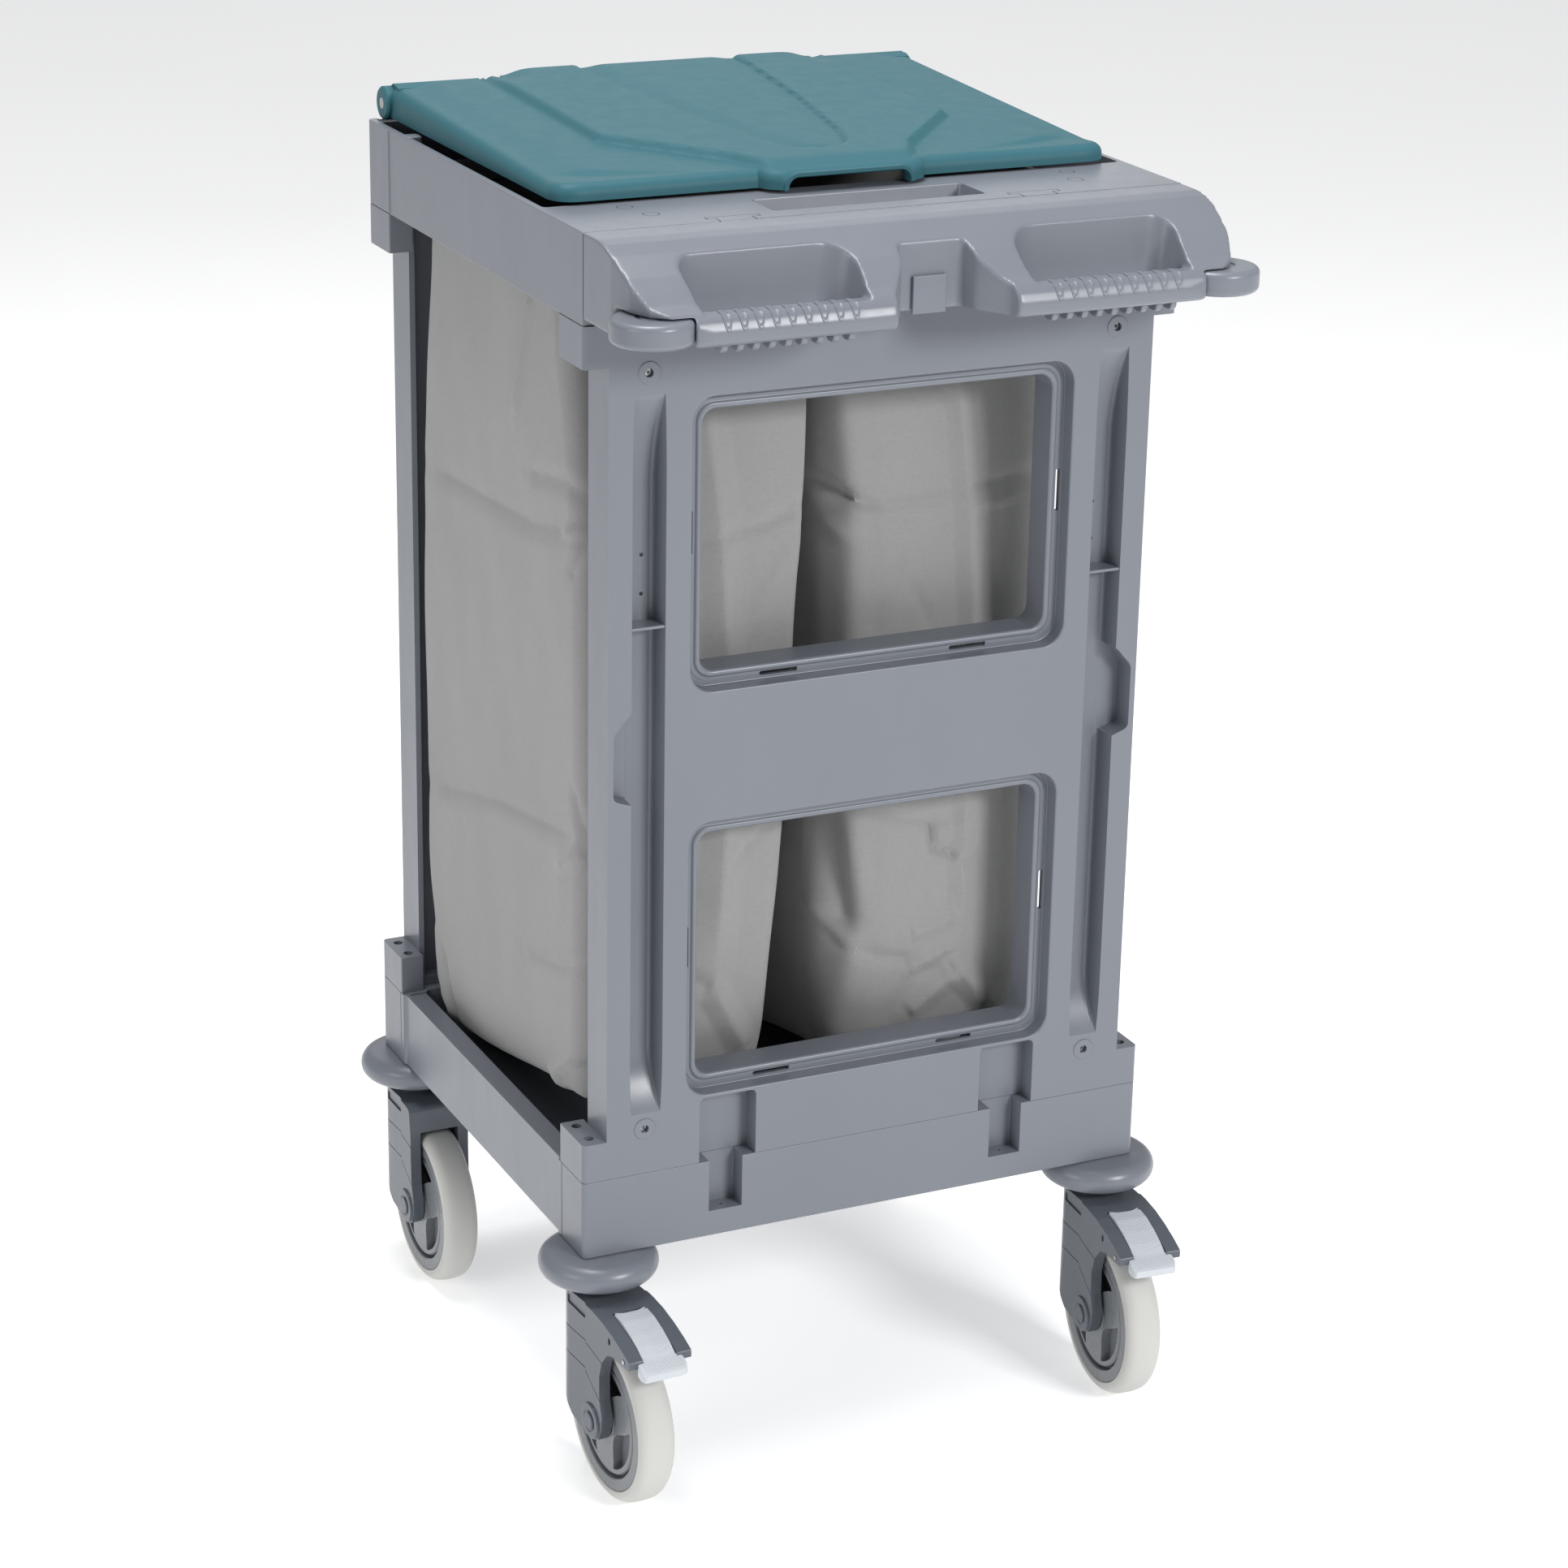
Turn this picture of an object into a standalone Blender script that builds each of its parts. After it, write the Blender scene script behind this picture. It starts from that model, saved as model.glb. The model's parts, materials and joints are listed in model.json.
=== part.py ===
"""A two-bag collecting cart: base platform, two window panels, a tray with a hinged lid and a
push handle, two hanging bags and four swivel casters. Metres, +Z up, the floor is z = 0, and the
handle side faces -Y. The middle of the overall footprint is the origin."""

import math

import bmesh
import bpy
from mathutils import Matrix, Vector

# Body
HALF_X, HALF_Y = 0.263, 0.2425
CORNER = 0.008
GAP = 0.0003
BASE_LOW, BASE_TOP, DECK_Z = 0.2125, 0.282, 0.246
POST_Y = 0.192  # inner ends of the corner blocks
BLOCK_LOW, BLOCK_HIGH = 0.3165, 0.9735  # the panels' lower corner blocks end, and their upper ones start
TRAY_LOW, TRAY_TOP = 1.008, 1.081
LEDGE_Z, LEDGE_THICK = 1.035, 0.005
TRAY_FRONT = -0.2405
DECK_BACK = -0.147  # where the tray's front deck ends and its mouth begins

# End panels
PANEL_X, PANEL_DEEP, SKIN = 0.242, 0.040, 0.0045
WINDOW_X, WINDOW_R = 0.170, 0.020
WINDOWS = ((0.699, 0.943), (0.344, 0.5865))
STEP_DEEP, LEDGE_WIDE, LIP = 0.014, 0.0135, 0.005
CHANNEL_X = (0.193, 0.221)
CHANNEL_Z = (0.337, 0.375, 0.875, 0.950)
CHANNEL_DEEP = 0.022
SCREW_X, SCREW_Z = 0.208, (0.323, 0.967)

# Handle and its bumper rollers
HANDLE_BACK, HANDLE_LOW = -0.2408, 1.013
GRIP_X, GRIP_BACK, BAR_BACK, BAR_TOP = (0.0715, 0.2105), -0.300, -0.3345, 1.037
ROLLER = Vector((0.245, -0.333, 1.015))
ROLLER_R, ROLLER_H, ROLLER_CEILING = 0.033, 0.020, 1.0358

# Lid
HINGE = Vector((0, 0.235, 1.095))
BARREL_R, BARREL_X, PIN_R = 0.0132, 0.2527, 0.005
LID_X, LID_FRONT, LID_LOW = 0.248, -0.150, 1.083
LUG_X = (0.150, 0.162)

# Bags
BAG_SPLIT, BAG_SIDE, BAG_WALL = -0.010, 0.237, 0.002
MOUTH_Y = (-0.1345, 0.1645)
BAG_TOP, BAG_LOW = 1.052, 0.262

# Casters, in a frame whose Z is the swivel axis and whose wheel trails towards -Y
SWIVEL_X, SWIVEL_Y = 0.240, 0.2205
DISC_R, DISC_Z, DISC_ROUND = 0.051, 0.1992, 0.0122
TRAIL, WHEEL_R, WHEEL_HALF, RIM_R = 0.0455, 0.075, 0.016, 0.0635
FORK_X, FORK_INNER = 0.0285, 0.0185
STEM_R, AXLE_R = 0.006, 0.005
PEDAL_PIN = Vector((0, -0.107, 0.1595))
CASTERS = {
    "front_left": (-1, -1, 0.050),
    "front_right": (1, -1, -0.087),
    "rear_left": (-1, 1, 0.007),
    "rear_right": (1, 1, 0.007),
}

# The rollers reach further forward than the rear discs reach back, so the cart stands off centre.
FRAME_Y = ((-ROLLER.y + ROLLER_R) - (SWIVEL_Y + DISC_R)) / 2

GREY = ("panel_plastic", (0.235, 0.262, 0.305), 0.42)
COLOURS = {
    "grey": GREY,
    "teal": ("lid_plastic", (0.070, 0.185, 0.215), 0.40),
    "dark": ("caster_plastic", (0.085, 0.100, 0.120), 0.25),
    "pale": ("pedal_plastic", (0.55, 0.60, 0.64), 0.45),
    "tread": ("tread_rubber", (0.60, 0.60, 0.57), 0.60),
    "cloth": ("bag_cloth", (0.29, 0.29, 0.28), 0.90),
    "steel": ("steel", (0.45, 0.46, 0.47), 0.30),
}


def clear_scene():
    for obj in list(bpy.data.objects):
        bpy.data.objects.remove(obj, do_unlink=True)


def material(key):
    name, colour, roughness = COLOURS[key]
    made = bpy.data.materials.new(name)
    made.use_nodes = True
    shader = made.node_tree.nodes["Principled BSDF"]
    shader.inputs["Base Color"].default_value = (*colour, 1)
    shader.inputs["Roughness"].default_value = roughness
    shader.inputs["Metallic"].default_value = 1.0 if key == "steel" else 0.0
    return made


def add_object(name, mesh):
    obj = bpy.data.objects.new(name, mesh)
    PARTS.objects.link(obj)
    return obj


def finish(obj, key):
    """Gives a finished piece its material and smooth rounds."""
    obj.data.materials.clear()
    obj.data.materials.append(material(key))
    obj.data.shade_smooth()
    obj.data.set_sharp_from_angle(angle=math.radians(32))
    return obj


def box(name, low, high):
    low, high = Vector(low), Vector(high)
    form = bmesh.new()
    bmesh.ops.create_cube(form, size=1)
    bmesh.ops.scale(form, vec=high - low, verts=form.verts)
    bmesh.ops.translate(form, vec=(low + high) / 2, verts=form.verts)
    mesh = bpy.data.meshes.new(name)
    form.to_mesh(mesh)
    form.free()
    return add_object(name, mesh)


def sided_box(name, side, xs, ys, zs):
    """A box given for +X, mirrored to -X when side is -1."""
    low_x, high_x = sorted((side * xs[0], side * xs[1]))
    return box(name, (low_x, ys[0], zs[0]), (high_x, ys[1], zs[1]))


def cylinder(name, centre, radius, low, high, axis="Z", sides=24):
    """A cylinder along an axis, from low to high on it."""
    form = bmesh.new()
    bmesh.ops.create_cone(
        form, cap_ends=True, segments=sides, radius1=radius, radius2=radius, depth=high - low
    )
    turn = {"Z": "Z", "X": "Y", "Y": "X"}[axis]
    quarter = math.pi / 2 if axis != "Z" else 0
    bmesh.ops.transform(form, matrix=Matrix.Rotation(quarter, 4, turn), verts=form.verts)
    at = Vector(centre)
    at["XYZ".index(axis)] = (low + high) / 2
    bmesh.ops.translate(form, vec=at, verts=form.verts)
    mesh = bpy.data.meshes.new(name)
    form.to_mesh(mesh)
    form.free()
    return add_object(name, mesh)


def as_mesh(obj):
    """Replaces an object's data with its evaluated, welded mesh."""
    graph = bpy.context.evaluated_depsgraph_get()
    mesh = bpy.data.meshes.new_from_object(obj.evaluated_get(graph), depsgraph=graph)
    form = bmesh.new()
    form.from_mesh(mesh)
    bmesh.ops.remove_doubles(form, verts=form.verts, dist=1e-6)
    bmesh.ops.recalc_face_normals(form, faces=form.faces)
    form.to_mesh(mesh)
    form.free()
    solid = add_object(obj.name + "_solid", mesh)
    solid.matrix_world = obj.matrix_world
    name = obj.name
    bpy.data.objects.remove(obj, do_unlink=True)
    solid.name = name
    return solid


def plate(name, outline, axis, low, high):
    """A flat outline thickened along an axis; its points are (Y, Z), (X, Z) or (X, Y)."""
    curve = bpy.data.curves.new(name, "CURVE")
    curve.dimensions = "2D"
    curve.fill_mode = "BOTH"
    curve.extrude = (high - low) / 2
    spline = curve.splines.new("POLY")
    spline.points.add(len(outline) - 1)
    for point, (u, v) in zip(spline.points, outline):
        point.co = (u, v, 0, 1)
    spline.use_cyclic_u = True
    solid = as_mesh(add_object(name, curve))
    middle = (low + high) / 2
    frames = {
        "X": Matrix(((0, 0, 1, middle), (1, 0, 0, 0), (0, 1, 0, 0), (0, 0, 0, 1))),
        "Y": Matrix(((1, 0, 0, 0), (0, 0, -1, middle), (0, 1, 0, 0), (0, 0, 0, 1))),
        "Z": Matrix.Translation((0, 0, middle)),
    }
    solid.data.transform(frames[axis])
    return solid


def rounded(points, radius, steps=3):
    """An outline whose corners are rounded; radius is one number or one for each corner."""
    radii = [radius] * len(points) if isinstance(radius, (int, float)) else radius
    outline = []
    for index, corner in enumerate(points):
        here = Vector(corner)
        before = (Vector(points[index - 1]) - here).normalized()
        after = (Vector(points[(index + 1) % len(points)]) - here).normalized()
        half = before.angle(after) / 2
        if radii[index] <= 0 or half > math.radians(89):
            outline.append(tuple(here))
            continue
        reach = radii[index] / math.tan(half)
        centre = here + (before + after).normalized() * radii[index] / math.sin(half)
        start = here + before * reach - centre
        sweep = (here + after * reach - centre).angle_signed(start)
        for step in range(steps + 1):
            turned_by = Matrix.Rotation(sweep * step / steps, 2)
            outline.append(tuple(centre + turned_by @ start))
    return outline


def rectangle(low_u, high_u, low_v, high_v):
    return [(low_u, low_v), (high_u, low_v), (high_u, high_v), (low_u, high_v)]


def mirrored(half):
    """A whole outline from its +X half, listed from one end of the mirror line to the other."""
    return half + [(-x, v) for x, v in reversed(half) if abs(x) > 1e-9]


def turned(name, profile, sides=32):
    """A closed (radius, z) profile, outer side first and downwards, turned about Z."""
    mesh = bpy.data.meshes.new(name)
    points = [(radius, 0, z) for radius, z in profile]
    count = len(points)
    mesh.from_pydata(points, [(i, (i + 1) % count) for i in range(count)], [])
    obj = add_object(name, mesh)
    screw = obj.modifiers.new("turn", "SCREW")
    screw.steps = screw.render_steps = sides
    screw.use_merge_vertices = True
    screw.merge_threshold = 1e-6
    return as_mesh(obj)


def combine(target, operation, tools):
    """Cuts, joins or intersects target with each tool, and removes the tools."""
    for tool in tools:
        step = target.modifiers.new(operation.lower(), "BOOLEAN")
        step.operation = operation
        step.solver = "EXACT"
        step.object = tool
    solid = as_mesh(target)
    for tool in tools:
        bpy.data.objects.remove(tool, do_unlink=True)
    return solid


def cut(target, *tools):
    return combine(target, "DIFFERENCE", tools)


def join(target, *tools):
    return combine(target, "UNION", tools)


def common(target, *tools):
    return combine(target, "INTERSECT", tools)


def corners():
    return [(sx, sy) for sy in (-1, 1) for sx in (-1, 1)]


def make_base():
    outline = rounded(rectangle(-HALF_X, HALF_X, -HALF_Y, HALF_Y), CORNER)
    base = plate("base_platform", outline, "Z", BASE_LOW, BASE_TOP)
    rail, floor_thick = 0.241, 0.006
    cuts = [box("deck", (-rail, -POST_Y + 0.001, DECK_Z), (rail, POST_Y - 0.001, BASE_TOP + 0.01))]
    top = DECK_Z - floor_thick
    cuts.append(box("under_wide", (-0.255, -0.140, 0.2), (0.255, 0.140, top)))
    cuts.append(box("under_long", (-0.150, -0.214, 0.2), (0.150, 0.214, top)))
    for side in (-1, 1):
        for end in (-1, 1):
            y = sorted((end * (HALF_Y - 0.020), end * (HALF_Y + 0.01)))
            cuts.append(sided_box("notch", side, (0.118, 0.1485), y, (0.243, BASE_TOP + 0.01)))
    for sx, sy in corners():
        centre = (sx * SWIVEL_X, sy * SWIVEL_Y, 0)
        cuts.append(cylinder("bore", centre, STEM_R + GAP, 0.2, 0.2375, sides=12))
    return finish(cut(base, *cuts), "grey")


def window_outline(low, high, inset):
    x = WINDOW_X - inset
    return rounded(rectangle(-x, x, low + inset, high - inset), WINDOW_R - inset * 0.6)


def channel_cutter(side, face):
    """The groove down a column: it ramps out to the face at both ends."""
    low, low_ramp, high_ramp, high = CHANNEL_Z
    front, floor = face - 0.01, face + CHANNEL_DEEP
    profile = [(front, low), (face, low), (floor, low_ramp), (floor, high_ramp)]
    profile += [(face + 0.006, high), (front, high)]
    xs = sorted(side * x for x in CHANNEL_X)
    groove = plate("channel", profile, "X", *xs)
    wide = [(0.200, 0.610), (0.221, 0.610), (0.237, 0.620), (0.237, 0.675), (0.221, 0.685), (0.200, 0.685)]
    pocket = plate("pocket", [(side * x, z) for x, z in wide], "Y", front, floor)
    rib = box("rib", (xs[0] - 0.001, face + 0.0008, 0.7574), (xs[1] + 0.001, floor + 0.002, 0.7599))
    return cut(join(groove, pocket), rib)


def make_front_panel():
    face, back = -HALF_Y, -HALF_Y + PANEL_DEEP
    low, high = BASE_TOP + GAP, TRAY_LOW - GAP
    outline = rounded(rectangle(-HALF_X, HALF_X, face, -POST_Y), [CORNER, CORNER, 0, 0])
    panel = plate("front_panel", outline, "Z", low, high)
    bosses, cuts = [], [box("behind", (-PANEL_X, back, 0.2), (PANEL_X, 0, 1.1))]
    for side in (-1, 1):
        cuts.append(sided_box("beside", side, (PANEL_X, 0.3), (-0.3, -0.1), (BLOCK_LOW, BLOCK_HIGH)))
        for z in SCREW_Z:
            centre = (side * SCREW_X, 0, z)
            bosses.append(cylinder("boss", centre, 0.010, face - 0.0008, face + 0.004, "Y", 12))
            cuts.append(cylinder("hole", centre, 0.0031, face - 0.01, back + 0.01, "Y", 8))
        for y in (-0.2290, -0.2025):
            hole = (side * (PANEL_X + HALF_X) / 2, y, 0)
            cuts.append(cylinder("hole", hole, 0.0038, BLOCK_LOW - 0.008, BLOCK_LOW + 0.01, sides=8))
    panel = join(panel, *bosses)
    inner, past = PANEL_X - 0.056, back + 0.01
    hollow_low, hollow_high = low + 0.008, high - 0.005
    deep = face + STEP_DEEP + 0.004
    hollow = box("hollow", (-inner, deep, hollow_low), (inner, past, hollow_high))
    lips = [
        plate("lip", window_outline(z0, z1, LEDGE_WIDE - LIP), "Y", deep - 0.01, past + 0.01)
        for z0, z1 in WINDOWS
    ]
    sides = (-1, 1)
    blocks = [
        sided_box("block", s, (0.100, 0.164), (face, face + 0.027), (0.28, 0.345)) for s in sides
    ]
    hollow = cut(hollow, *lips, *blocks)
    shallow = face + SKIN
    cuts.append(hollow)
    for x, z0, z1 in ((inner, 0.951, hollow_high), (inner, 0.5905, 0.691), (0.095, hollow_low, 0.336)):
        cuts.append(box("band", (-x, shallow, z0), (x, deep + 0.001, z1)))
    for z0, z1 in WINDOWS:
        outer = window_outline(z0, z1, 0)
        cuts.append(plate("step", outer, "Y", face - 0.01, face + STEP_DEEP))
        cuts.append(plate("through", window_outline(z0, z1, LEDGE_WIDE), "Y", face, past))
        for side in sides:
            x, z = side * 0.0865, z0 + 0.005
            slot = (face, deep + 0.01)
            cuts.append(box("slot", (x - 0.017, slot[0], z - 0.002), (x + 0.017, slot[1], z + 0.002)))
            x, z = side * (WINDOW_X - 0.0042), (z0 + z1) / 2 + 0.009
            cuts.append(box("slot", (x - 0.002, slot[0], z - 0.018), (x + 0.002, slot[1], z + 0.018)))
    for side in sides:
        cuts.append(channel_cutter(side, face))
        heights = (hollow_low, hollow_high)
        cuts.append(sided_box("column", side, (0.1905, 0.237), (face + 0.026, past), heights))
        cuts.append(sided_box("notch", side, (0.106, 0.158), (face - 0.01, face + 0.023), (0.28, 0.341)))
    return finish(cut(panel, *cuts), "grey")


def make_rear_panel(front):
    rear = add_object("rear_panel", front.data.copy())
    rear.data.transform(Matrix.Rotation(math.pi, 4, "Z"))
    return finish(rear, "grey")


def make_screws():
    for end, end_name in ((-1, "front"), (1, "rear")):
        for side, side_name in ((-1, "left"), (1, "right")):
            for z, height in zip(SCREW_Z, ("lower", "upper")):
                y = sorted((end * (HALF_Y - 0.0025), end * (HALF_Y - 0.034)))
                name = f"panel_screw_{end_name}_{side_name}_{height}"
                finish(cylinder(name, (side * SCREW_X, 0, z), 0.0026, *y, "Y", 8), "steel")


def make_tray():
    shape = rounded(rectangle(-HALF_X, HALF_X, TRAY_FRONT, HALF_Y), [0, 0, CORNER, CORNER])
    tray = plate("top_tray", shape, "Z", TRAY_LOW, TRAY_TOP)
    wall, ledge = HALF_X - 0.0055, LEDGE_Z + GAP
    lower = LEDGE_Z - LEDGE_THICK
    cuts = [box("mouth", (-wall, DECK_BACK, ledge), (wall, HALF_Y - 0.006, 1.1))]
    for x0, x1 in ((-BAG_SIDE - 0.0005, BAG_SPLIT - 0.0065), (BAG_SPLIT + 0.0065, BAG_SIDE + 0.0005)):
        cuts.append(box("bag_mouth", (x0, MOUTH_Y[0] - 0.0005, 0.99), (x1, MOUTH_Y[1] + 0.0005, 1.1)))
    front, deck_wall = TRAY_FRONT + 0.005, DECK_BACK - 0.005
    cuts.append(box("deck_hollow", (-wall, front, 0.99), (wall, deck_wall, 1.061)))
    for side in (-1, 1):
        cuts.append(sided_box("deck_hollow", side, (0.098, wall), (front, deck_wall), (1.055, 1.0765)))
    cuts.append(box("pocket", (-0.094, -0.221, 1.066), (0.094, -0.176, 1.1)))
    cuts.append(box("rear_hollow", (-0.2325, MOUTH_Y[1] + 0.0045, 0.99), (0.2325, 0.2385, lower)))
    tray = cut(tray, *cuts)
    lugs, holes = [], []
    for side in (-1, 1):
        xs = sorted(side * x for x in LUG_X)
        lugs.append(sided_box("lug", side, LUG_X, (0.2245, HALF_Y - 0.0001), (LEDGE_Z - 0.001, HINGE.z)))
        lugs.append(cylinder("lug_eye", HINGE, 0.0108, *xs, "X", 20))
        holes.append(cylinder("eye", HINGE, PIN_R + GAP, xs[0] - 0.01, xs[1] + 0.01, "X", 12))
    return finish(cut(join(tray, *lugs), *holes), "grey")


def make_handle():
    profile = [(HANDLE_BACK, HANDLE_LOW), (HANDLE_BACK, TRAY_TOP), (-0.268, TRAY_TOP)]
    profile += [(-0.280, 1.0785), (-0.295, 1.073), (-0.317, 1.061), (-0.330, 1.051)]
    profile += [(-0.340, 1.0425), (-0.350, 1.0380), (-0.357, 1.032), (-0.360, 1.025)]
    profile += [(-0.359, 1.017), (-0.355, HANDLE_LOW)]
    handle = plate("handle_moulding", profile, "X", -HALF_X, HALF_X)
    half = [(HALF_X, HANDLE_BACK), (0.2625, -0.295), (0.259, -0.323), (0.251, -0.342)]
    half += [(0.239, -0.3525), (0.222, -0.3580), (0.205, -0.360)]
    handle = common(handle, plate("plan", mirrored(half), "Z", 1.0, 1.1))
    spread = [(0.028, -0.305), (0.032, -0.325), (0.050, -0.345), (0.055, -0.370)]
    cuts = [plate("notch", mirrored(spread), "Z", 1.0, 1.1)]
    cuts.append(box("under", (-0.2065, -0.2965, 1.0), (0.2065, HANDLE_BACK - 0.004, 1.066)))
    for side in (-1, 1):
        centre = (side * ROLLER.x, ROLLER.y, 0)
        cuts.append(sided_box("recess", side, GRIP_X, (BAR_BACK, GRIP_BACK), (1.0, 1.1)))
        cuts.append(sided_box("recess_top", side, GRIP_X, (-0.40, BAR_BACK + 0.001), (BAR_TOP, 1.1)))
        cuts.append(cylinder("roller_space", centre, ROLLER_R + 0.001, 1.0, ROLLER_CEILING))
        cuts.append(sided_box("corner", side, (ROLLER.x, 0.3), (-0.40, -0.299), (1.0, ROLLER_CEILING)))
    return finish(cut(handle, *cuts), "grey")


def make_handle_clip():
    clip = box("handle_clip", (-0.0145, -0.3085, 1.011), (0.0145, -0.305 - GAP, 1.041))
    wedge = plate("wedge", [(-0.007, 1.033), (0, 1.020), (0.007, 1.033)], "Y", -0.32, -0.3075)
    return finish(cut(clip, wedge), "grey")


def make_roller_and_pin(side, side_name):
    low, high, edge = ROLLER.z, ROLLER.z + ROLLER_H, 0.005
    bore = 0.0043
    rim = [
        (ROLLER_R - edge + edge * math.cos(a), middle + edge * math.sin(a))
        for middle, start in ((high - edge, 90), (low + edge, 0))
        for a in (math.radians(start - step) for step in (0, 45, 90))
    ]
    roller = turned(f"bumper_roller_{side_name}", [(bore, high), *rim, (bore, low)], 24)
    roller.location = (side * ROLLER.x, ROLLER.y, 0)
    pin_top, head = ROLLER_CEILING - GAP, low - GAP
    pin = cylinder(f"roller_pin_{side_name}", (0, 0, 0), 0.004, head - 0.001, pin_top, sides=12)
    pin = join(pin, cylinder("head", (0, 0, 0), 0.008, head - 0.0035, head, sides=12))
    pin.location = roller.location
    return finish(roller, "grey"), finish(pin, "steel")


def lid_top(y):
    """Height of the lid's flat top: it rises towards the hinge."""
    return 1.098 + (y - LID_FRONT) * 0.0415


def make_lid():
    outer = [(LID_FRONT, LID_LOW), (LID_FRONT, 1.090), (-0.147, 1.095), (-0.139, lid_top(-0.139))]
    outer += [(0.225, lid_top(0.225)), (0.235, HINGE.z + BARREL_R - 0.001), (0.235, LID_LOW)]
    lid = plate("lid", list(reversed(outer)), "X", -LID_X, LID_X)
    plan = rounded(rectangle(-LID_X, LID_X, LID_FRONT, 0.25), [0.018, 0.018, 0, 0], 6)
    lid = common(lid, plate("plan", plan, "Z", 1.0, 1.2))
    rise = [(-0.165, 1.0835), (-0.165, 1.091), (-0.161, 1.0955), (-0.150, 1.0990)]
    rise += [(-0.105, 1.1055), (0.208, lid_top(0.208) + 0.006), (0.224, lid_top(0.224))]
    rise += [(0.2215, 1.1105), (-0.1455, 1.0945), (-0.1455, 1.0835)]
    centre = plate("rise", list(reversed(rise)), "X", -0.17, 0.17)
    half = [(0.163, 0.23), (0.163, -0.020), (0.082, -0.110), (0.064, -0.145), (0.060, -0.170)]
    centre = common(centre, plate("plan", mirrored(half), "Z", 1.0, 1.2))
    inside = [(-0.146, 1.0), (0.2185, 1.0), (0.2185, lid_top(0.2185) - 0.004)]
    inside += [(-0.137, lid_top(-0.137) - 0.004), (-0.146, 1.0905)]
    hollow = plate("inside", inside, "X", -LID_X + 0.004, LID_X - 0.004)
    lid = cut(lid, hollow)
    barrel = cylinder("barrel", HINGE, BARREL_R, -BARREL_X, BARREL_X, "X", 24)
    lid = join(lid, centre, barrel)
    finger = rounded(rectangle(-0.052, 0.052, 1.05, 1.0925), [0, 0, 0.006, 0.006])
    cuts = [plate("finger", finger, "Y", -0.18, -0.1545)]
    for side in (-1, 1):
        cuts.append(sided_box("lug_gap", side, (0.1485, 0.1635), (0.2175, 0.26), (1.0, 1.2)))
        bore = sorted((side * 0.130, side * 0.26))
        cuts.append(cylinder("pin_bore", HINGE, PIN_R + GAP, *bore, "X", 12))
    return finish(cut(lid, *cuts), "teal")


def make_lid_pin(side, side_name):
    ends = sorted((side * 0.1305, side * BARREL_X))
    return finish(cylinder(f"lid_pin_{side_name}", HINGE, PIN_R, *ends, "X", 12), "steel")


def bag_sections(side):
    """(z, x low, x high, y low, y high, corner radius) down a bag; it bellies below its mouth."""
    outer, mid = BAG_SIDE, BAG_SPLIT + side * 0.0070
    belly = BAG_SPLIT + side * 0.0018
    rows = [
        (BAG_TOP, outer, mid, *MOUTH_Y, 0.020),
        (0.990, outer, mid, *MOUTH_Y, 0.022),
        (0.900, outer, belly, -0.157, 0.178, 0.032),
        (0.740, outer, belly, -0.176, 0.190, 0.040),
        (0.550, outer, belly, -0.183, 0.198, 0.042),
        (0.360, outer, belly, -0.180, 0.196, 0.040),
        (0.285, outer - 0.001, belly + side * 0.003, -0.170, 0.188, 0.036),
        (BAG_LOW, outer - 0.020, belly + side * 0.020, -0.140, 0.160, 0.024),
    ]
    for z, far, near, y0, y1, radius in rows:
        x0, x1 = sorted((side * far, near))
        yield z, x0, x1, y0, y1, radius


def make_bag(side, side_name):
    form = bmesh.new()
    rings = []
    for z, x0, x1, y0, y1, radius in bag_sections(side):
        outline = rounded(rectangle(x0, x1, y0, y1), radius, 3)
        rings.append([form.verts.new((x, y, z)) for x, y in outline])
    for upper, lower in zip(rings, rings[1:]):
        count = len(upper)
        for i in range(count):
            j = (i + 1) % count
            form.faces.new((upper[i], lower[i], lower[j], upper[j]))
    form.faces.new(reversed(rings[-1]))
    bmesh.ops.recalc_face_normals(form, faces=form.faces)
    mesh = bpy.data.meshes.new(f"bag_{side_name}")
    form.to_mesh(mesh)
    form.free()
    bag = add_object(f"bag_{side_name}", mesh)
    shell = bag.modifiers.new("wall", "SOLIDIFY")
    shell.thickness, shell.offset = BAG_WALL, -1
    return finish(as_mesh(bag), "cloth")


def make_bag_frame(side, side_name):
    """The ring that a bag's mouth is clipped to; it rests on the tray's ledge."""
    near, far = BAG_SPLIT + side * 0.0004, side * (HALF_X - 0.0062)
    x0, x1 = sorted((near, far))
    low, high = LEDGE_Z + 2 * GAP, LEDGE_Z + 0.0085
    frame = box(f"bag_frame_{side_name}", (x0, MOUTH_Y[0] - 0.0095, low), (x1, MOUTH_Y[1] + 0.0095, high))
    x0, x1 = sorted((BAG_SPLIT + side * 0.0065, side * (BAG_SIDE + 0.0005)))
    mouth = box("mouth", (x0, MOUTH_Y[0] - 0.0005, 1.0), (x1, MOUTH_Y[1] + 0.0005, 1.1))
    return finish(cut(frame, mouth), "dark")


def make_disc(name):
    rim = [
        (DISC_R - DISC_ROUND + DISC_ROUND * math.cos(a), DISC_Z + DISC_ROUND * math.sin(a))
        for a in (math.radians(90 - 30 * step) for step in range(7))
    ]
    bore, top = STEM_R + GAP, BASE_LOW - GAP
    profile = [(bore, top), (0.026, top), (0.028, rim[0][1])] + rim + [(bore, rim[-1][1])]
    return finish(turned(name, profile, 24), "grey")


def make_stem(name):
    return finish(cylinder(name, (0, 0, 0), STEM_R, 0.152, 0.2372, sides=12), "steel")


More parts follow.
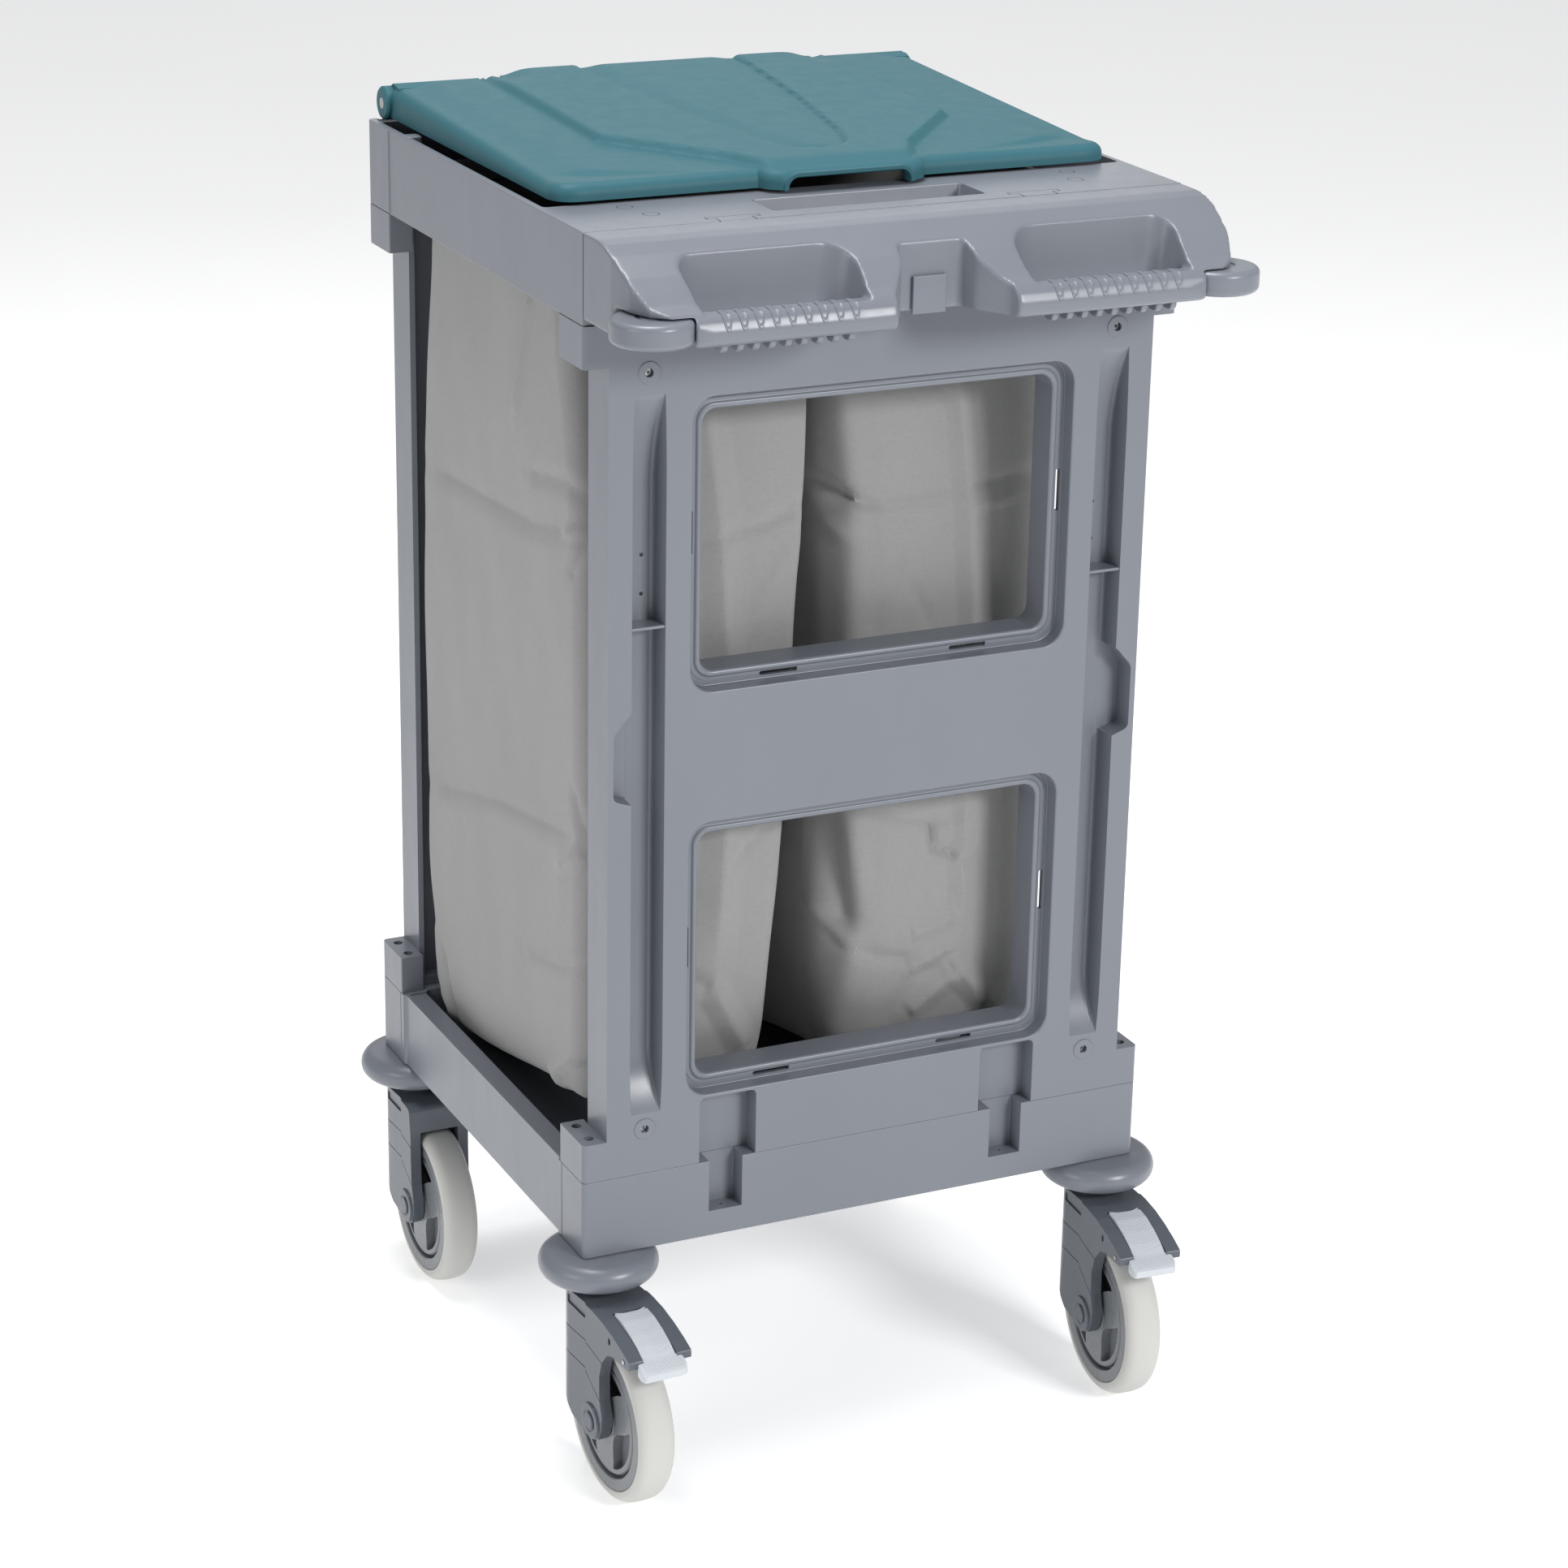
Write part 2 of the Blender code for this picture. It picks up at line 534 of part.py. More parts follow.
def fork_profile(braked):
    """(y, z) outline of the fork's side: a wide leg, and a mudguard over the wheel if braked."""
    back = [(0.0285, 0.172), (0.0285, 0.112), (0.0245, 0.092), (0.013, 0.074), (-0.006, 0.061)]
    back += [(-0.028, 0.0585), (-0.0455, 0.0580), (-0.058, 0.0635), (-0.0645, 0.0745)]
    if braked:
        leg = [(-0.0660, 0.084), (-0.0610, 0.100), (-0.0610, 0.124), (-0.0655, 0.139), (-0.0765, 0.1525)]
        guard = [(-0.0840, 0.155), (-0.1170, 0.1562), (-0.1185, 0.1625), (-0.1040, 0.1675)]
        guard += [(-0.0865, 0.1725), (-0.0660, 0.1770), (-0.0450, 0.1785), (-0.0290, 0.1778)]
        return back + leg + guard
    leg = [(-0.0640, 0.084), (-0.0595, 0.100), (-0.0585, 0.130), (-0.0560, 0.152), (-0.0500, 0.167)]
    return back + leg + [(-0.0400, 0.1755), (-0.0290, 0.1778)]


def make_fork(name, braked):
    fork = plate(name, fork_profile(braked), "X", -FORK_X, FORK_X)
    reach = -0.14
    turns = [math.radians(22.5 * step) for step in range(9)]
    half_turn = [(FORK_X * math.cos(a), FORK_X * math.sin(a)) for a in turns]
    plan = plate("plan", half_turn + [(-FORK_X, reach), (FORK_X, reach)], "Z", 0, 0.3)
    fork = common(fork, plan)
    fork = join(
        fork,
        cylinder("neck", (0, 0, 0), 0.0265, 0.168, 0.1868, sides=20),
        cylinder("boss_a", (0, -TRAIL, 0.075), 0.0150, FORK_INNER + 0.002, 0.0298, "X", 16),
        cylinder("boss_b", (0, -TRAIL, 0.075), 0.0150, -0.0298, -FORK_INNER - 0.002, "X", 16),
    )
    cuts = [
        cylinder("wheel_space", (0, -TRAIL, 0.075), 0.079, -FORK_INNER, FORK_INNER, "X", 24),
        box("wheel_gap", (-FORK_INNER, -0.16, 0.0), (FORK_INNER, 0.04, 0.074)),
        cylinder("axle_bore", (0, -TRAIL, 0.075), AXLE_R + GAP, -0.04, 0.04, "X", 12),
        cylinder("stem_bore", (0, 0, 0), STEM_R + GAP, 0.1515, 0.2, sides=12),
    ]
    if braked:
        cuts.append(box("pedal_slot", (-0.0155, -0.15, 0.140), (0.0155, -0.058, 0.2)))
        cuts.append(cylinder("pin_bore", PEDAL_PIN, 0.0023, -0.04, 0.04, "X", 12))
    return finish(cut(fork, *cuts), "dark")


def make_axle(name):
    axle = cylinder(name, (0, -TRAIL, 0.075), AXLE_R, -0.0305, 0.0305, "X", 12)
    heads = [
        cylinder("head", (0, -TRAIL, 0.075), 0.0082, *sorted((s * (0.0298 + GAP), s * 0.0316)), "X", 12)
        for s in (-1, 1)
    ]
    return finish(join(axle, *heads), "dark")


def make_pedal(name):
    top = [(-0.060, 0.1790), (-0.076, 0.1772), (-0.092, 0.1722), (-0.105, 0.1672), (-0.1125, 0.1622)]
    plate_end = [(-0.1290, 0.1545), (-0.1290, 0.1490)]
    under = [(-0.1125, 0.1535), (-0.102, 0.1535), (-0.092, 0.1632), (-0.076, 0.1700), (-0.060, 0.1725)]
    pedal = plate(name, top + plate_end + under, "X", -0.0148, 0.0148)
    foot = [(-0.1195, 0.1588), (-0.1290, 0.1545), (-0.1290, 0.1490), (-0.1195, 0.1512)]
    pedal = join(pedal, plate("foot", foot, "X", -0.021, 0.021))
    pedal = cut(pedal, cylinder("bore", PEDAL_PIN, 0.0023, -0.04, 0.04, "X", 12))
    return finish(pedal, "pale")


def make_pedal_pin(name):
    return finish(cylinder(name, PEDAL_PIN, 0.0020, -0.0290, 0.0290, "X", 12), "steel")


def make_hub(name):
    half = 0.0155
    one_side = [(RIM_R, half), (0.0535, half), (0.0515, 0.006), (0.0150, 0.006), (0.0140, 0.0165)]
    outer_side = [(AXLE_R + GAP, 0.0165)] + list(reversed(one_side))
    profile = outer_side + [(radius, -x) for radius, x in reversed(outer_side)]
    hub = turned(name, profile, 24)
    hub.data.transform(Matrix.Rotation(math.pi / 2, 4, "Y"))
    return finish(hub, "dark")


def make_tyre(name):
    half = [(RIM_R + GAP, WHEEL_HALF), (0.0690, WHEEL_HALF), (0.0735, 0.0120)]
    profile = half + [(WHEEL_R, 0)] + [(radius, -x) for radius, x in reversed(half)]
    tyre = turned(name, profile, 32)
    tyre.data.transform(Matrix.Rotation(math.pi / 2, 4, "Y"))
    return finish(tyre, "tread")


def add_empty(name, location, turn=0.0, parent=None):
    empty = bpy.data.objects.new(name, None)
    PARTS.objects.link(empty)
    empty.location = location
    empty.rotation_euler.z = turn
    empty.parent = parent
    bpy.context.view_layer.update()
    return empty


def keep_place(obj, parent):
    """Parents a piece that was built in the cart's own coordinates."""
    obj.parent = parent
    obj.matrix_parent_inverse = (CART.matrix_world.inverted() @ parent.matrix_world).inverted()


def make_caster(place, side, end, heading):
    swivel = add_empty(f"swivel_{place}", (side * SWIVEL_X, end * SWIVEL_Y, 0), heading, CART)
    axle = add_empty(f"wheel_axis_{place}", (0, -TRAIL, 0.075), 0, swivel)
    pieces = [make_disc(f"bumper_disc_{place}"), make_stem(f"caster_stem_{place}")]
    pieces += [make_fork(f"caster_fork_{place}", end < 0), make_axle(f"wheel_axle_{place}")]
    if end < 0:
        pieces.append(make_pedal_pin(f"pedal_pin_{place}"))
        pedal = make_pedal(f"brake_pedal_{place}")
        pivot = add_empty(f"pedal_axis_{place}", PEDAL_PIN, 0, swivel)
        pedal.data.transform(Matrix.Translation(-PEDAL_PIN))
        pedal.parent = pivot
    for piece in pieces:
        piece.parent = swivel
    for wheel in (make_hub(f"wheel_hub_{place}"), make_tyre(f"tyre_{place}")):
        wheel.parent = axle


def make_cart():
    front = make_front_panel()
    fixed = [make_base(), front, make_rear_panel(front), make_tray(), make_handle(), make_handle_clip()]
    make_screws()
    lid_axis = add_empty("lid_axis", HINGE, 0, CART)
    keep_place(make_lid(), lid_axis)
    for side, side_name in ((-1, "left"), (1, "right")):
        fixed += make_roller_and_pin(side, side_name)
        fixed += [make_lid_pin(side, side_name), make_bag(side, side_name), make_bag_frame(side, side_name)]
    fixed += [obj for obj in PARTS.objects if obj.name.startswith("panel_screw")]
    for piece in fixed:
        piece.parent = CART
    for place, (side, end, heading) in CASTERS.items():
        make_caster(place, side, end, heading)


clear_scene()
PARTS = bpy.data.collections.new("collecting_cart")
bpy.context.scene.collection.children.link(PARTS)
CART = add_empty("cart", (0, FRAME_Y, 0))
make_cart()
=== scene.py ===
"""Looks of the two-bag collecting cart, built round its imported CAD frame. Metres, +Z up.

Every piece is modelled in the cart's own coordinates, whose origin is on the floor under the middle of
the base platform, and place() then moves it into the frame. The handle side faces -Y.
"""

import json
import math
from functools import partial
from math import cos, radians, sin, tau

import bmesh
import bpy
import numpy as np
from mathutils import Matrix, Vector, noise
from mathutils.bvhtree import BVHTree

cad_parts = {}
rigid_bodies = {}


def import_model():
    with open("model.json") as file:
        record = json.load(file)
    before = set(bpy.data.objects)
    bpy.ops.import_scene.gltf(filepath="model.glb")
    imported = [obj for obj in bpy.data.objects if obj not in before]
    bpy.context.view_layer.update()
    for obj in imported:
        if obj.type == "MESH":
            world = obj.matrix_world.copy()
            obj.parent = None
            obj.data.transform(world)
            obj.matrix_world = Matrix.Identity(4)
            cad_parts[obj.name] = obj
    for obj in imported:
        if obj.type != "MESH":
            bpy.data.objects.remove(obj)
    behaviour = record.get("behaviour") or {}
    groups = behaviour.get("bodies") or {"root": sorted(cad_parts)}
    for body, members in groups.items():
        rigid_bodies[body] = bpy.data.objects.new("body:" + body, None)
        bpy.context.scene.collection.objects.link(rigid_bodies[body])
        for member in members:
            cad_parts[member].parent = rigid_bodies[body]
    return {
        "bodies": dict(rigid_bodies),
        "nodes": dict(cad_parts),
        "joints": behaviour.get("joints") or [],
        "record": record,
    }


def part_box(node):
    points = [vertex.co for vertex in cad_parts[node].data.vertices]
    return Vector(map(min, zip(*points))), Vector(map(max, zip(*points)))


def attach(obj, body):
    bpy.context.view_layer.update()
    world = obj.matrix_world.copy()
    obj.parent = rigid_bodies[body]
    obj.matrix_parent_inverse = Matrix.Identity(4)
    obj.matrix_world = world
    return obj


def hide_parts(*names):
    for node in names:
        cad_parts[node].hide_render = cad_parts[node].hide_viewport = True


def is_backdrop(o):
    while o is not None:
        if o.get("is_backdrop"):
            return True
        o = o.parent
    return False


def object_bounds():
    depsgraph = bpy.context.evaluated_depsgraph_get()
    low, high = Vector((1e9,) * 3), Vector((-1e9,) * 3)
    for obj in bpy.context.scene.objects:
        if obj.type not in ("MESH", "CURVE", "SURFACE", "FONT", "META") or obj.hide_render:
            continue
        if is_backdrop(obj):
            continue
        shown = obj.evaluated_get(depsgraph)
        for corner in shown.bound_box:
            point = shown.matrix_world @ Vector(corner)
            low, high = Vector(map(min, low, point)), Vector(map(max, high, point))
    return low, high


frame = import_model()
CAD_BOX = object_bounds()

# Driving dimensions: read from the boxes of the frame, and the CAD's own hinge, swivels and bores
base_low, base_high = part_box("base_platform")
tray_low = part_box("top_tray")[0]
panel_low, panel_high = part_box("front_panel")
handle_low, handle_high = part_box("handle_moulding")
MIDDLE_Y = (base_low.y + base_high.y) / 2
HALF_X, HALF_Y = base_high.x, (base_high.y - base_low.y) / 2
BASE_LOW, BASE_TOP = base_low.z, panel_low.z - 0.0003
PANEL_X, PANEL_LOW, PANEL_HIGH = panel_high.x - 0.021, panel_low.z, panel_high.z
PANEL_DEEP = panel_high.y - panel_low.y - 0.0105
TRAY_TOP, TRAY_LOW = handle_high.z, PANEL_HIGH + 0.0003
TRAY_FRONT = tray_low.y - MIDDLE_Y
HANDLE_BACK, HANDLE_NOSE = handle_high.y - MIDDLE_Y, handle_low.y - MIDDLE_Y
HANDLE_LOW = handle_low.z
HINGE = Vector((0, 0.235, 1.095))
SWIVEL_X, SWIVEL_Y = 0.24, 0.2205
DECK_BACK = -0.147
PIN_BORE, STEM_BORE, PEDAL_BORE = 0.0053, 0.0063, 0.0023
SIDES = ((-1, "left"), (1, "right"))
SAME = 1e-6  # points nearer than this are one


# ---------------------------------------------------------------- shape helpers


def linked(obj):
    bpy.context.scene.collection.objects.link(obj)
    return obj


def new_piece(form):
    """An object from a bmesh, with faces turned outwards."""
    bmesh.ops.recalc_face_normals(form, faces=form.faces)
    mesh = bpy.data.meshes.new("piece")
    form.to_mesh(mesh)
    form.free()
    return linked(bpy.data.objects.new("piece", mesh))


def pts(text, width=2):
    """Tuples of that many lengths, written in millimetres and given in metres."""
    values = [float(part) / 1000 for part in text.split()]
    return [tuple(values[i : i + width]) for i in range(0, len(values), width)]


def span(side, near, far):
    """The low and high ends of a run that goes out from near to far on one side."""
    return sorted((side * near, side * far))


def arc(centre, radius, start, end, steps):
    """Points of an arc in a plane, from one angle to another, in degrees."""
    u, v = centre
    angles = [radians(start + (end - start) * i / steps) for i in range(steps + 1)]
    return [(u + radius * cos(a), v + radius * sin(a)) for a in angles]


def each(value, count=4):
    """One value for each corner, from a single value or a list of them."""
    return value if isinstance(value, (tuple, list)) else (value,) * count


def round_rectangle(u0, u1, v0, v1, radius, steps=8):
    """A rectangle with round corners, anticlockwise. radius is one number or one for each corner."""
    radii = [max(r, 1e-5) for r in each(radius)]
    places = [(u0, v0, 180, 1, 1), (u1, v0, 270, -1, 1), (u1, v1, 0, -1, -1), (u0, v1, 90, 1, -1)]
    points = []
    for (u, v, start, du, dv), r in zip(places, radii):
        points += arc((u + du * r, v + dv * r), r, start, start + 90, steps)
    return points


def fillet(points, radius, steps=5, closed=True):
    """An outline with its corners rounded; radius is one number or one for each corner."""
    radii = each(radius, len(points))
    outline = []
    for i, corner in enumerate(points):
        here = Vector(corner)
        if not closed and i in (0, len(points) - 1):
            outline.append(tuple(here))
            continue
        before = (Vector(points[i - 1]) - here).normalized()
        after = (Vector(points[(i + 1) % len(points)]) - here).normalized()
        half = before.angle(after) / 2
        if radii[i] <= 0 or half > radians(88.5):
            outline.append(tuple(here))
            continue
        reach = radii[i] / math.tan(half)
        centre = here + (before + after).normalized() * radii[i] / sin(half)
        start = here + before * reach - centre
        sweep = (here + after * reach - centre).angle_signed(start)
        for step in range(steps + 1):
            outline.append(tuple(centre + Matrix.Rotation(sweep * step / steps, 2) @ start))
    return outline


def on_axis(axis, u, v, w):
    """A point whose plane coordinates are (u, v) and whose place along the axis is w."""
    return {"X": (w, u, v), "Y": (u, w, v), "Z": (u, v, w)}[axis]


def skin_over(rings):
    """A bmesh with four-sided faces between rings of points, and the rings of its vertices."""
    form = bmesh.new()
    made = [[form.verts.new(p) for p in ring] for ring in rings]
    count = len(made[0])
    for a, b in zip(made, made[1:]):
        for i in range(count):
            j = (i + 1) % count
            form.faces.new((a[i], a[j], b[j], b[i]))
    return form, made


def loft(rings):
    """A skin over rings of 3D points, all with the same count, closed by a face at each end."""
    form, made = skin_over(rings)
    form.faces.new(made[0])
    form.faces.new(made[-1])
    bmesh.ops.remove_doubles(form, verts=form.verts, dist=SAME)
    return new_piece(form)


def lofted_box(axis, rect, radius, rows, steps=8):
    """Round rectangles stacked along an axis. rows are (place, inset, radius change)."""
    u0, u1, v0, v1 = rect
    rings = []
    for place, inset, change in rows:
        radii = [max(r - change, 0.0002) for r in each(radius)]
        outline = round_rectangle(u0 + inset, u1 - inset, v0 + inset, v1 - inset, radii, steps)
        rings.append([on_axis(axis, u, v, place) for u, v in outline])
    return loft(rings)


def block(axis, rect, radius, low, high, edge=0.0012, steps=6):
    """A block with round corners along the axis and rounded end edges."""
    turns = [radians(a) for a in (0, 30, 60, 90)]
    ends = [(edge * (1 - cos(a)), edge * (1 - sin(a))) for a in turns]
    rows = [(low + rise, inset, inset) for rise, inset in ends]
    rows += [(high - rise, inset, inset) for rise, inset in reversed(ends)]
    return lofted_box(axis, rect, radius, rows, steps)


def prism(outline, axis, low, high):
    """A flat outline carried along an axis; its points are (Y, Z), (X, Z) or (X, Y)."""
    return loft([[on_axis(axis, u, v, w) for u, v in outline] for w in (low, high)])


def slab(axis, low, high, *rectangle):
    """A prism over a round rectangle."""
    return prism(round_rectangle(*rectangle), axis, low, high)


def turned(profile, steps=48, closed=True):
    """A (radius, height) profile turned about Z."""
    rings = []
    for i in range(steps):
        a = tau * i / steps
        rings.append([(r * cos(a), r * sin(a), z) for r, z in profile])
    form = bmesh.new()
    made = [[form.verts.new(p) for p in ring] for ring in rings]
    count = len(profile)
    last = count if closed else count - 1
    for a, b in zip(made, made[1:] + made[:1]):
        for i in range(last):
            j = (i + 1) % count
            form.faces.new((a[i], b[i], b[j], a[j]))
    bmesh.ops.remove_doubles(form, verts=form.verts, dist=SAME)
    return new_piece(form)


def rod(centre, radius, low, high, axis="Z", edge=0.0004, sides=32):
    """A round bar along an axis with eased ends."""
    at = Vector(centre)
    at["XYZ".index(axis)] = 0
    inner = radius - edge
    profile = [(0, low), (inner, low), (radius, low + edge), (radius, high - edge), (inner, high), (0, high)]
    obj = turned(profile, sides, closed=False)
    turn = {"Z": Matrix(), "X": Matrix.Rotation(math.pi / 2, 4, "Y"), "Y": Matrix.Rotation(-math.pi / 2, 4, "X")}
    obj.data.transform(Matrix.Translation(at) @ turn[axis])
    return obj


def evaluated(obj):
    """Swaps an object's mesh for its evaluated one and clears its modifiers."""
    graph = bpy.context.evaluated_depsgraph_get()
    mesh = bpy.data.meshes.new_from_object(obj.evaluated_get(graph), depsgraph=graph)
    obj.modifiers.clear()
    obj.data = mesh
    return obj


def combine(operation, target, *tools):
    """Cuts, joins or intersects a piece with its tools, which are used up."""
    for tool in tools:
        step = target.modifiers.new("step", "BOOLEAN")
        step.operation, step.solver, step.object = operation, "EXACT", tool
    evaluated(target)
    for tool in tools:
        bpy.data.objects.remove(tool, do_unlink=True)
    return target


cut, unite, common = (partial(combine, operation) for operation in ("DIFFERENCE", "UNION", "INTERSECT"))


def eased(obj, width=0.001, segments=3, angle=30):
    """Rounds an object's edges with a bevel."""
    form = bmesh.new()
    form.from_mesh(obj.data)
    bmesh.ops.remove_doubles(form, verts=form.verts, dist=2e-5)
    bmesh.ops.dissolve_limit(form, angle_limit=radians(0.6), verts=form.verts, edges=form.edges)
    form.to_mesh(obj.data)
    form.free()
    bevel = obj.modifiers.new("edges", "BEVEL")
    bevel.width, bevel.segments = width, segments
    bevel.limit_method, bevel.angle_limit = "ANGLE", radians(angle)
    bevel.use_clamp_overlap = True
    bevel.harden_normals = False
    return evaluated(obj)


def cleaned(obj):
    """Joins stray points and splits faces into triangles, so no long sliver is left after the cuts."""
    form = bmesh.new()
    form.from_mesh(obj.data)
    bmesh.ops.remove_doubles(form, verts=form.verts, dist=1e-5)
    bmesh.ops.dissolve_degenerate(form, dist=1e-5, edges=form.edges)
    bmesh.ops.triangulate(form, faces=form.faces)
    form.to_mesh(obj.data)
    form.free()
    return obj


def mirrored_x(points):
    return points + [(-u, v) for u, v in reversed(points) if abs(u) > 1e-9]


def move(obj, x=0.0, y=0.0, z=0.0):
    obj.data.transform(Matrix.Translation((x, y, z)))
    return obj


def merge(*objs):
    """Several meshes as the shells of one object."""
    form = bmesh.new()
    for obj in objs:
        form.from_mesh(obj.data)
        bpy.data.objects.remove(obj, do_unlink=True)
    return new_piece(form)


def place(obj, name, node=None, body="cart", slot="panel_plastic", smooth=35, look=None):
    """Names a finished piece, moves it into the frame, and gives it the material of its slot and its body."""
    obj.name = name
    move(obj, y=MIDDLE_Y)
    obj.data.materials.clear()
    obj.data.materials.append(look or LOOKS[slot])
    obj.data.shade_smooth()
    obj.data.set_sharp_from_angle(angle=radians(smooth))
    # Large flat faces keep their own direction where they meet a small round
    weigh = obj.modifiers.new("normals", "WEIGHTED_NORMAL")
    weigh.weight, weigh.keep_sharp = 90, True
    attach(obj, body)
    if node:
        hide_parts(node)
    return obj


# ---------------------------------------------------------------- materials


def new_look(name, roughness, **sockets):
    """A node material, with its tree, its shader and its object coordinates."""
    look = bpy.data.materials.new(name)
    look.use_nodes = True
    tree = look.node_tree
    shader = tree.nodes["Principled BSDF"]
    for socket, value in {"Roughness": roughness, **sockets}.items():
        shader.inputs[socket.replace("_", " ")].default_value = value
    return look, tree, shader, tree.nodes.new("ShaderNodeTexCoord").outputs["Object"]


def add_node(tree, kind, output, **inputs):
    """Adds a node, sets or links its inputs, and gives back one of its outputs."""
    made = tree.nodes.new(f"ShaderNode{kind}")
    for name, value in inputs.items():
        socket = made.inputs[name.replace("_", " ")]
        if isinstance(value, bpy.types.NodeSocket):
            tree.links.new(value, socket)
        else:
            socket.default_value = value
    return made.outputs[output]


def noise_at(tree, where, scale, detail=2.0):
    """Noise of one scale, or stretched by three."""
    if isinstance(scale, tuple):
        where, scale = add_node(tree, "Mapping", "Vector", Vector=where, Scale=scale), 1.0
    return add_node(tree, "TexNoise", "Fac", Vector=where, Scale=scale, Detail=detail, Roughness=0.55)


def ranged(tree, value, low, high):
    return add_node(tree, "MapRange", "Result", Value=value, From_Min=0.3, From_Max=0.7, To_Min=low, To_Max=high)


def maths(tree, operation, a, b=None):
    made = tree.nodes.new("ShaderNodeMath")
    made.operation = operation
    for socket, value in zip(made.inputs, (a, b)):
        if isinstance(value, float):
            socket.default_value = value
        elif value is not None:
            tree.links.new(value, socket)
    return made.outputs["Value"]


def painted(tree, value, low_colour, high_colour, low=0.3, high=0.7):
    """A colour ramp between two colours."""
    ramp = tree.nodes.new("ShaderNodeValToRGB")
    for end, at, colour in zip(ramp.color_ramp.elements, (low, high), (low_colour, high_colour)):
        end.position, end.color = at, (*colour, 1)
    tree.links.new(value, ramp.inputs["Fac"])
    return ramp.outputs["Color"]


def bumped(tree, shader, height, distance, strength=1.0, **below):
    normal = add_node(tree, "Bump", "Normal", Strength=strength, Distance=distance, Height=height, **below)
    tree.links.new(normal, shader.inputs["Normal"])
    return normal


def shade(colour, factor):
    return tuple(channel * factor for channel in colour)


def plastic(name, colour, roughness, grain=0.00003, mottle=0.05, waviness=0.00025, specular=0.5):
    """Moulded plastic: faint flow marks, a fine texture and slightly uneven gloss."""
    look, tree, shader, where = new_look(name, roughness, Specular_IOR_Level=specular)
    flow = noise_at(tree, where, (5, 5, 2.2), 4.0)
    paint = painted(tree, flow, shade(colour, 1 - mottle), shade(colour, 1 + mottle))
    tree.links.new(paint, shader.inputs["Base Color"])
    gloss = ranged(tree, noise_at(tree, where, (60, 60, 16), 4.0), roughness - 0.03, roughness + 0.03)
    tree.links.new(gloss, shader.inputs["Roughness"])
    wavy = bumped(tree, shader, noise_at(tree, where, 14), waviness)
    bumped(tree, shader, noise_at(tree, where, 1500), grain, Normal=wavy)
    return look


def cloth_look(name, colour):
    """Plain-woven cloth: threads at a fine pitch, slubs along both ways and a soft sheen."""
    look, tree, shader, where = new_look(name, 0.85, Sheen_Weight=0.25, Sheen_Roughness=0.45)
    split = tree.nodes.new("ShaderNodeSeparateXYZ")
    tree.links.new(where, split.inputs["Vector"])
    pitch = tau / 0.0011
    across = maths(tree, "ADD", split.outputs["X"], split.outputs["Y"])
    warp = maths(tree, "SINE", maths(tree, "MULTIPLY", across, pitch))
    weft = maths(tree, "SINE", maths(tree, "MULTIPLY", split.outputs["Z"], pitch))
    upright, level = (noise_at(tree, where, scale) for scale in ((1400, 1400, 110), (110, 110, 1400)))
    slubs = maths(tree, "ADD", upright, level)
    tint = tree.nodes.new("ShaderNodeMix")
    tint.data_type, tint.blend_type = "RGBA", "MULTIPLY"
    tint.inputs["Factor"].default_value = 1.0
    paint = painted(tree, slubs, shade(colour, 0.95), shade(colour, 1.04), 0.75, 1.25)
    soil = painted(tree, noise_at(tree, where, 5.0, 5.0), (0.95,) * 3, (1.0,) * 3)
    for source, socket in ((paint, tint.inputs["A"]), (soil, tint.inputs["B"])):
        tree.links.new(source, socket)
    tree.links.new(tint.outputs["Result"], shader.inputs["Base Color"])
    rough = bumped(tree, shader, slubs, 0.00016, 0.6)
    bumped(tree, shader, maths(tree, "MULTIPLY", warp, weft), 0.00012, 0.6, Normal=rough)
    return look


def steel_look(name):
    """Zinc-plated steel with fine turning marks."""
    look, tree, shader, where = new_look(name, 0.32, Metallic=1.0)
    marks = noise_at(tree, where, (300, 300, 2500))
    tree.links.new(painted(tree, marks, (0.34, 0.35, 0.36), (0.50, 0.51, 0.52)), shader.inputs["Base Color"])
    tree.links.new(ranged(tree, marks, 0.26, 0.42), shader.inputs["Roughness"])
    bumped(tree, shader, marks, 0.00004)
    return look


GREY = plastic("moulded_grey", (0.156, 0.169, 0.196), 0.33, mottle=0.035)
TEAL = plastic("moulded_teal", (0.034, 0.118, 0.144), 0.5, mottle=0.015, waviness=0.0001, specular=0.16)
DARK = plastic("glossy_dark_grey", (0.098, 0.11, 0.13), 0.22, 0.00001, 0.02, 0.0001, 0.25)
HUB = plastic("hub_grey", (0.18, 0.19, 0.202), 0.28, 0.00001, 0.02, 0.0001, 0.3)
PALE = plastic("pale_grey", (0.5, 0.53, 0.56), 0.42, mottle=0.03)
TREAD = plastic("tread_rubber_look", (0.5, 0.5, 0.475), 0.6, mottle=0.04, grain=0.0001)
THREAD = plastic("sewing_thread", (0.42, 0.42, 0.41), 0.75, mottle=0.06, grain=0.0001)
STEEL = steel_look("zinc_plate")
CLOTH = cloth_look("woven_grey_cloth", (0.262, 0.262, 0.258))
# The look of each material slot
LOOKS = {
    "panel_plastic": GREY, "lid_plastic": TEAL, "caster_plastic": DARK, "pedal_plastic": PALE,
    "tread_rubber": TREAD, "bag_cloth": CLOTH, "steel": STEEL,
}


# ---------------------------------------------------------------- end panels

WINDOW_X, WINDOW_R = 0.17, 0.02
WINDOWS = ((0.699, 0.943), (0.344, 0.5865))
STEP_DEEP, LEDGE_WIDE = 0.014, 0.0135
CHANNEL_MIDDLE, CHANNEL_FLOOR, CHANNEL_DEEP = 0.207, 0.013, 0.022
CHANNEL_Z, CHANNEL_RAMPS = (0.337, 0.95), (0.053, 0.08)
SCREW_X, SCREW_Z = 0.208, (0.323, 0.967)
FACE = -HALF_Y
BLOCK_Y, BLOCK_LOW, BLOCK_HIGH = 0.192, 0.3165, 0.9735


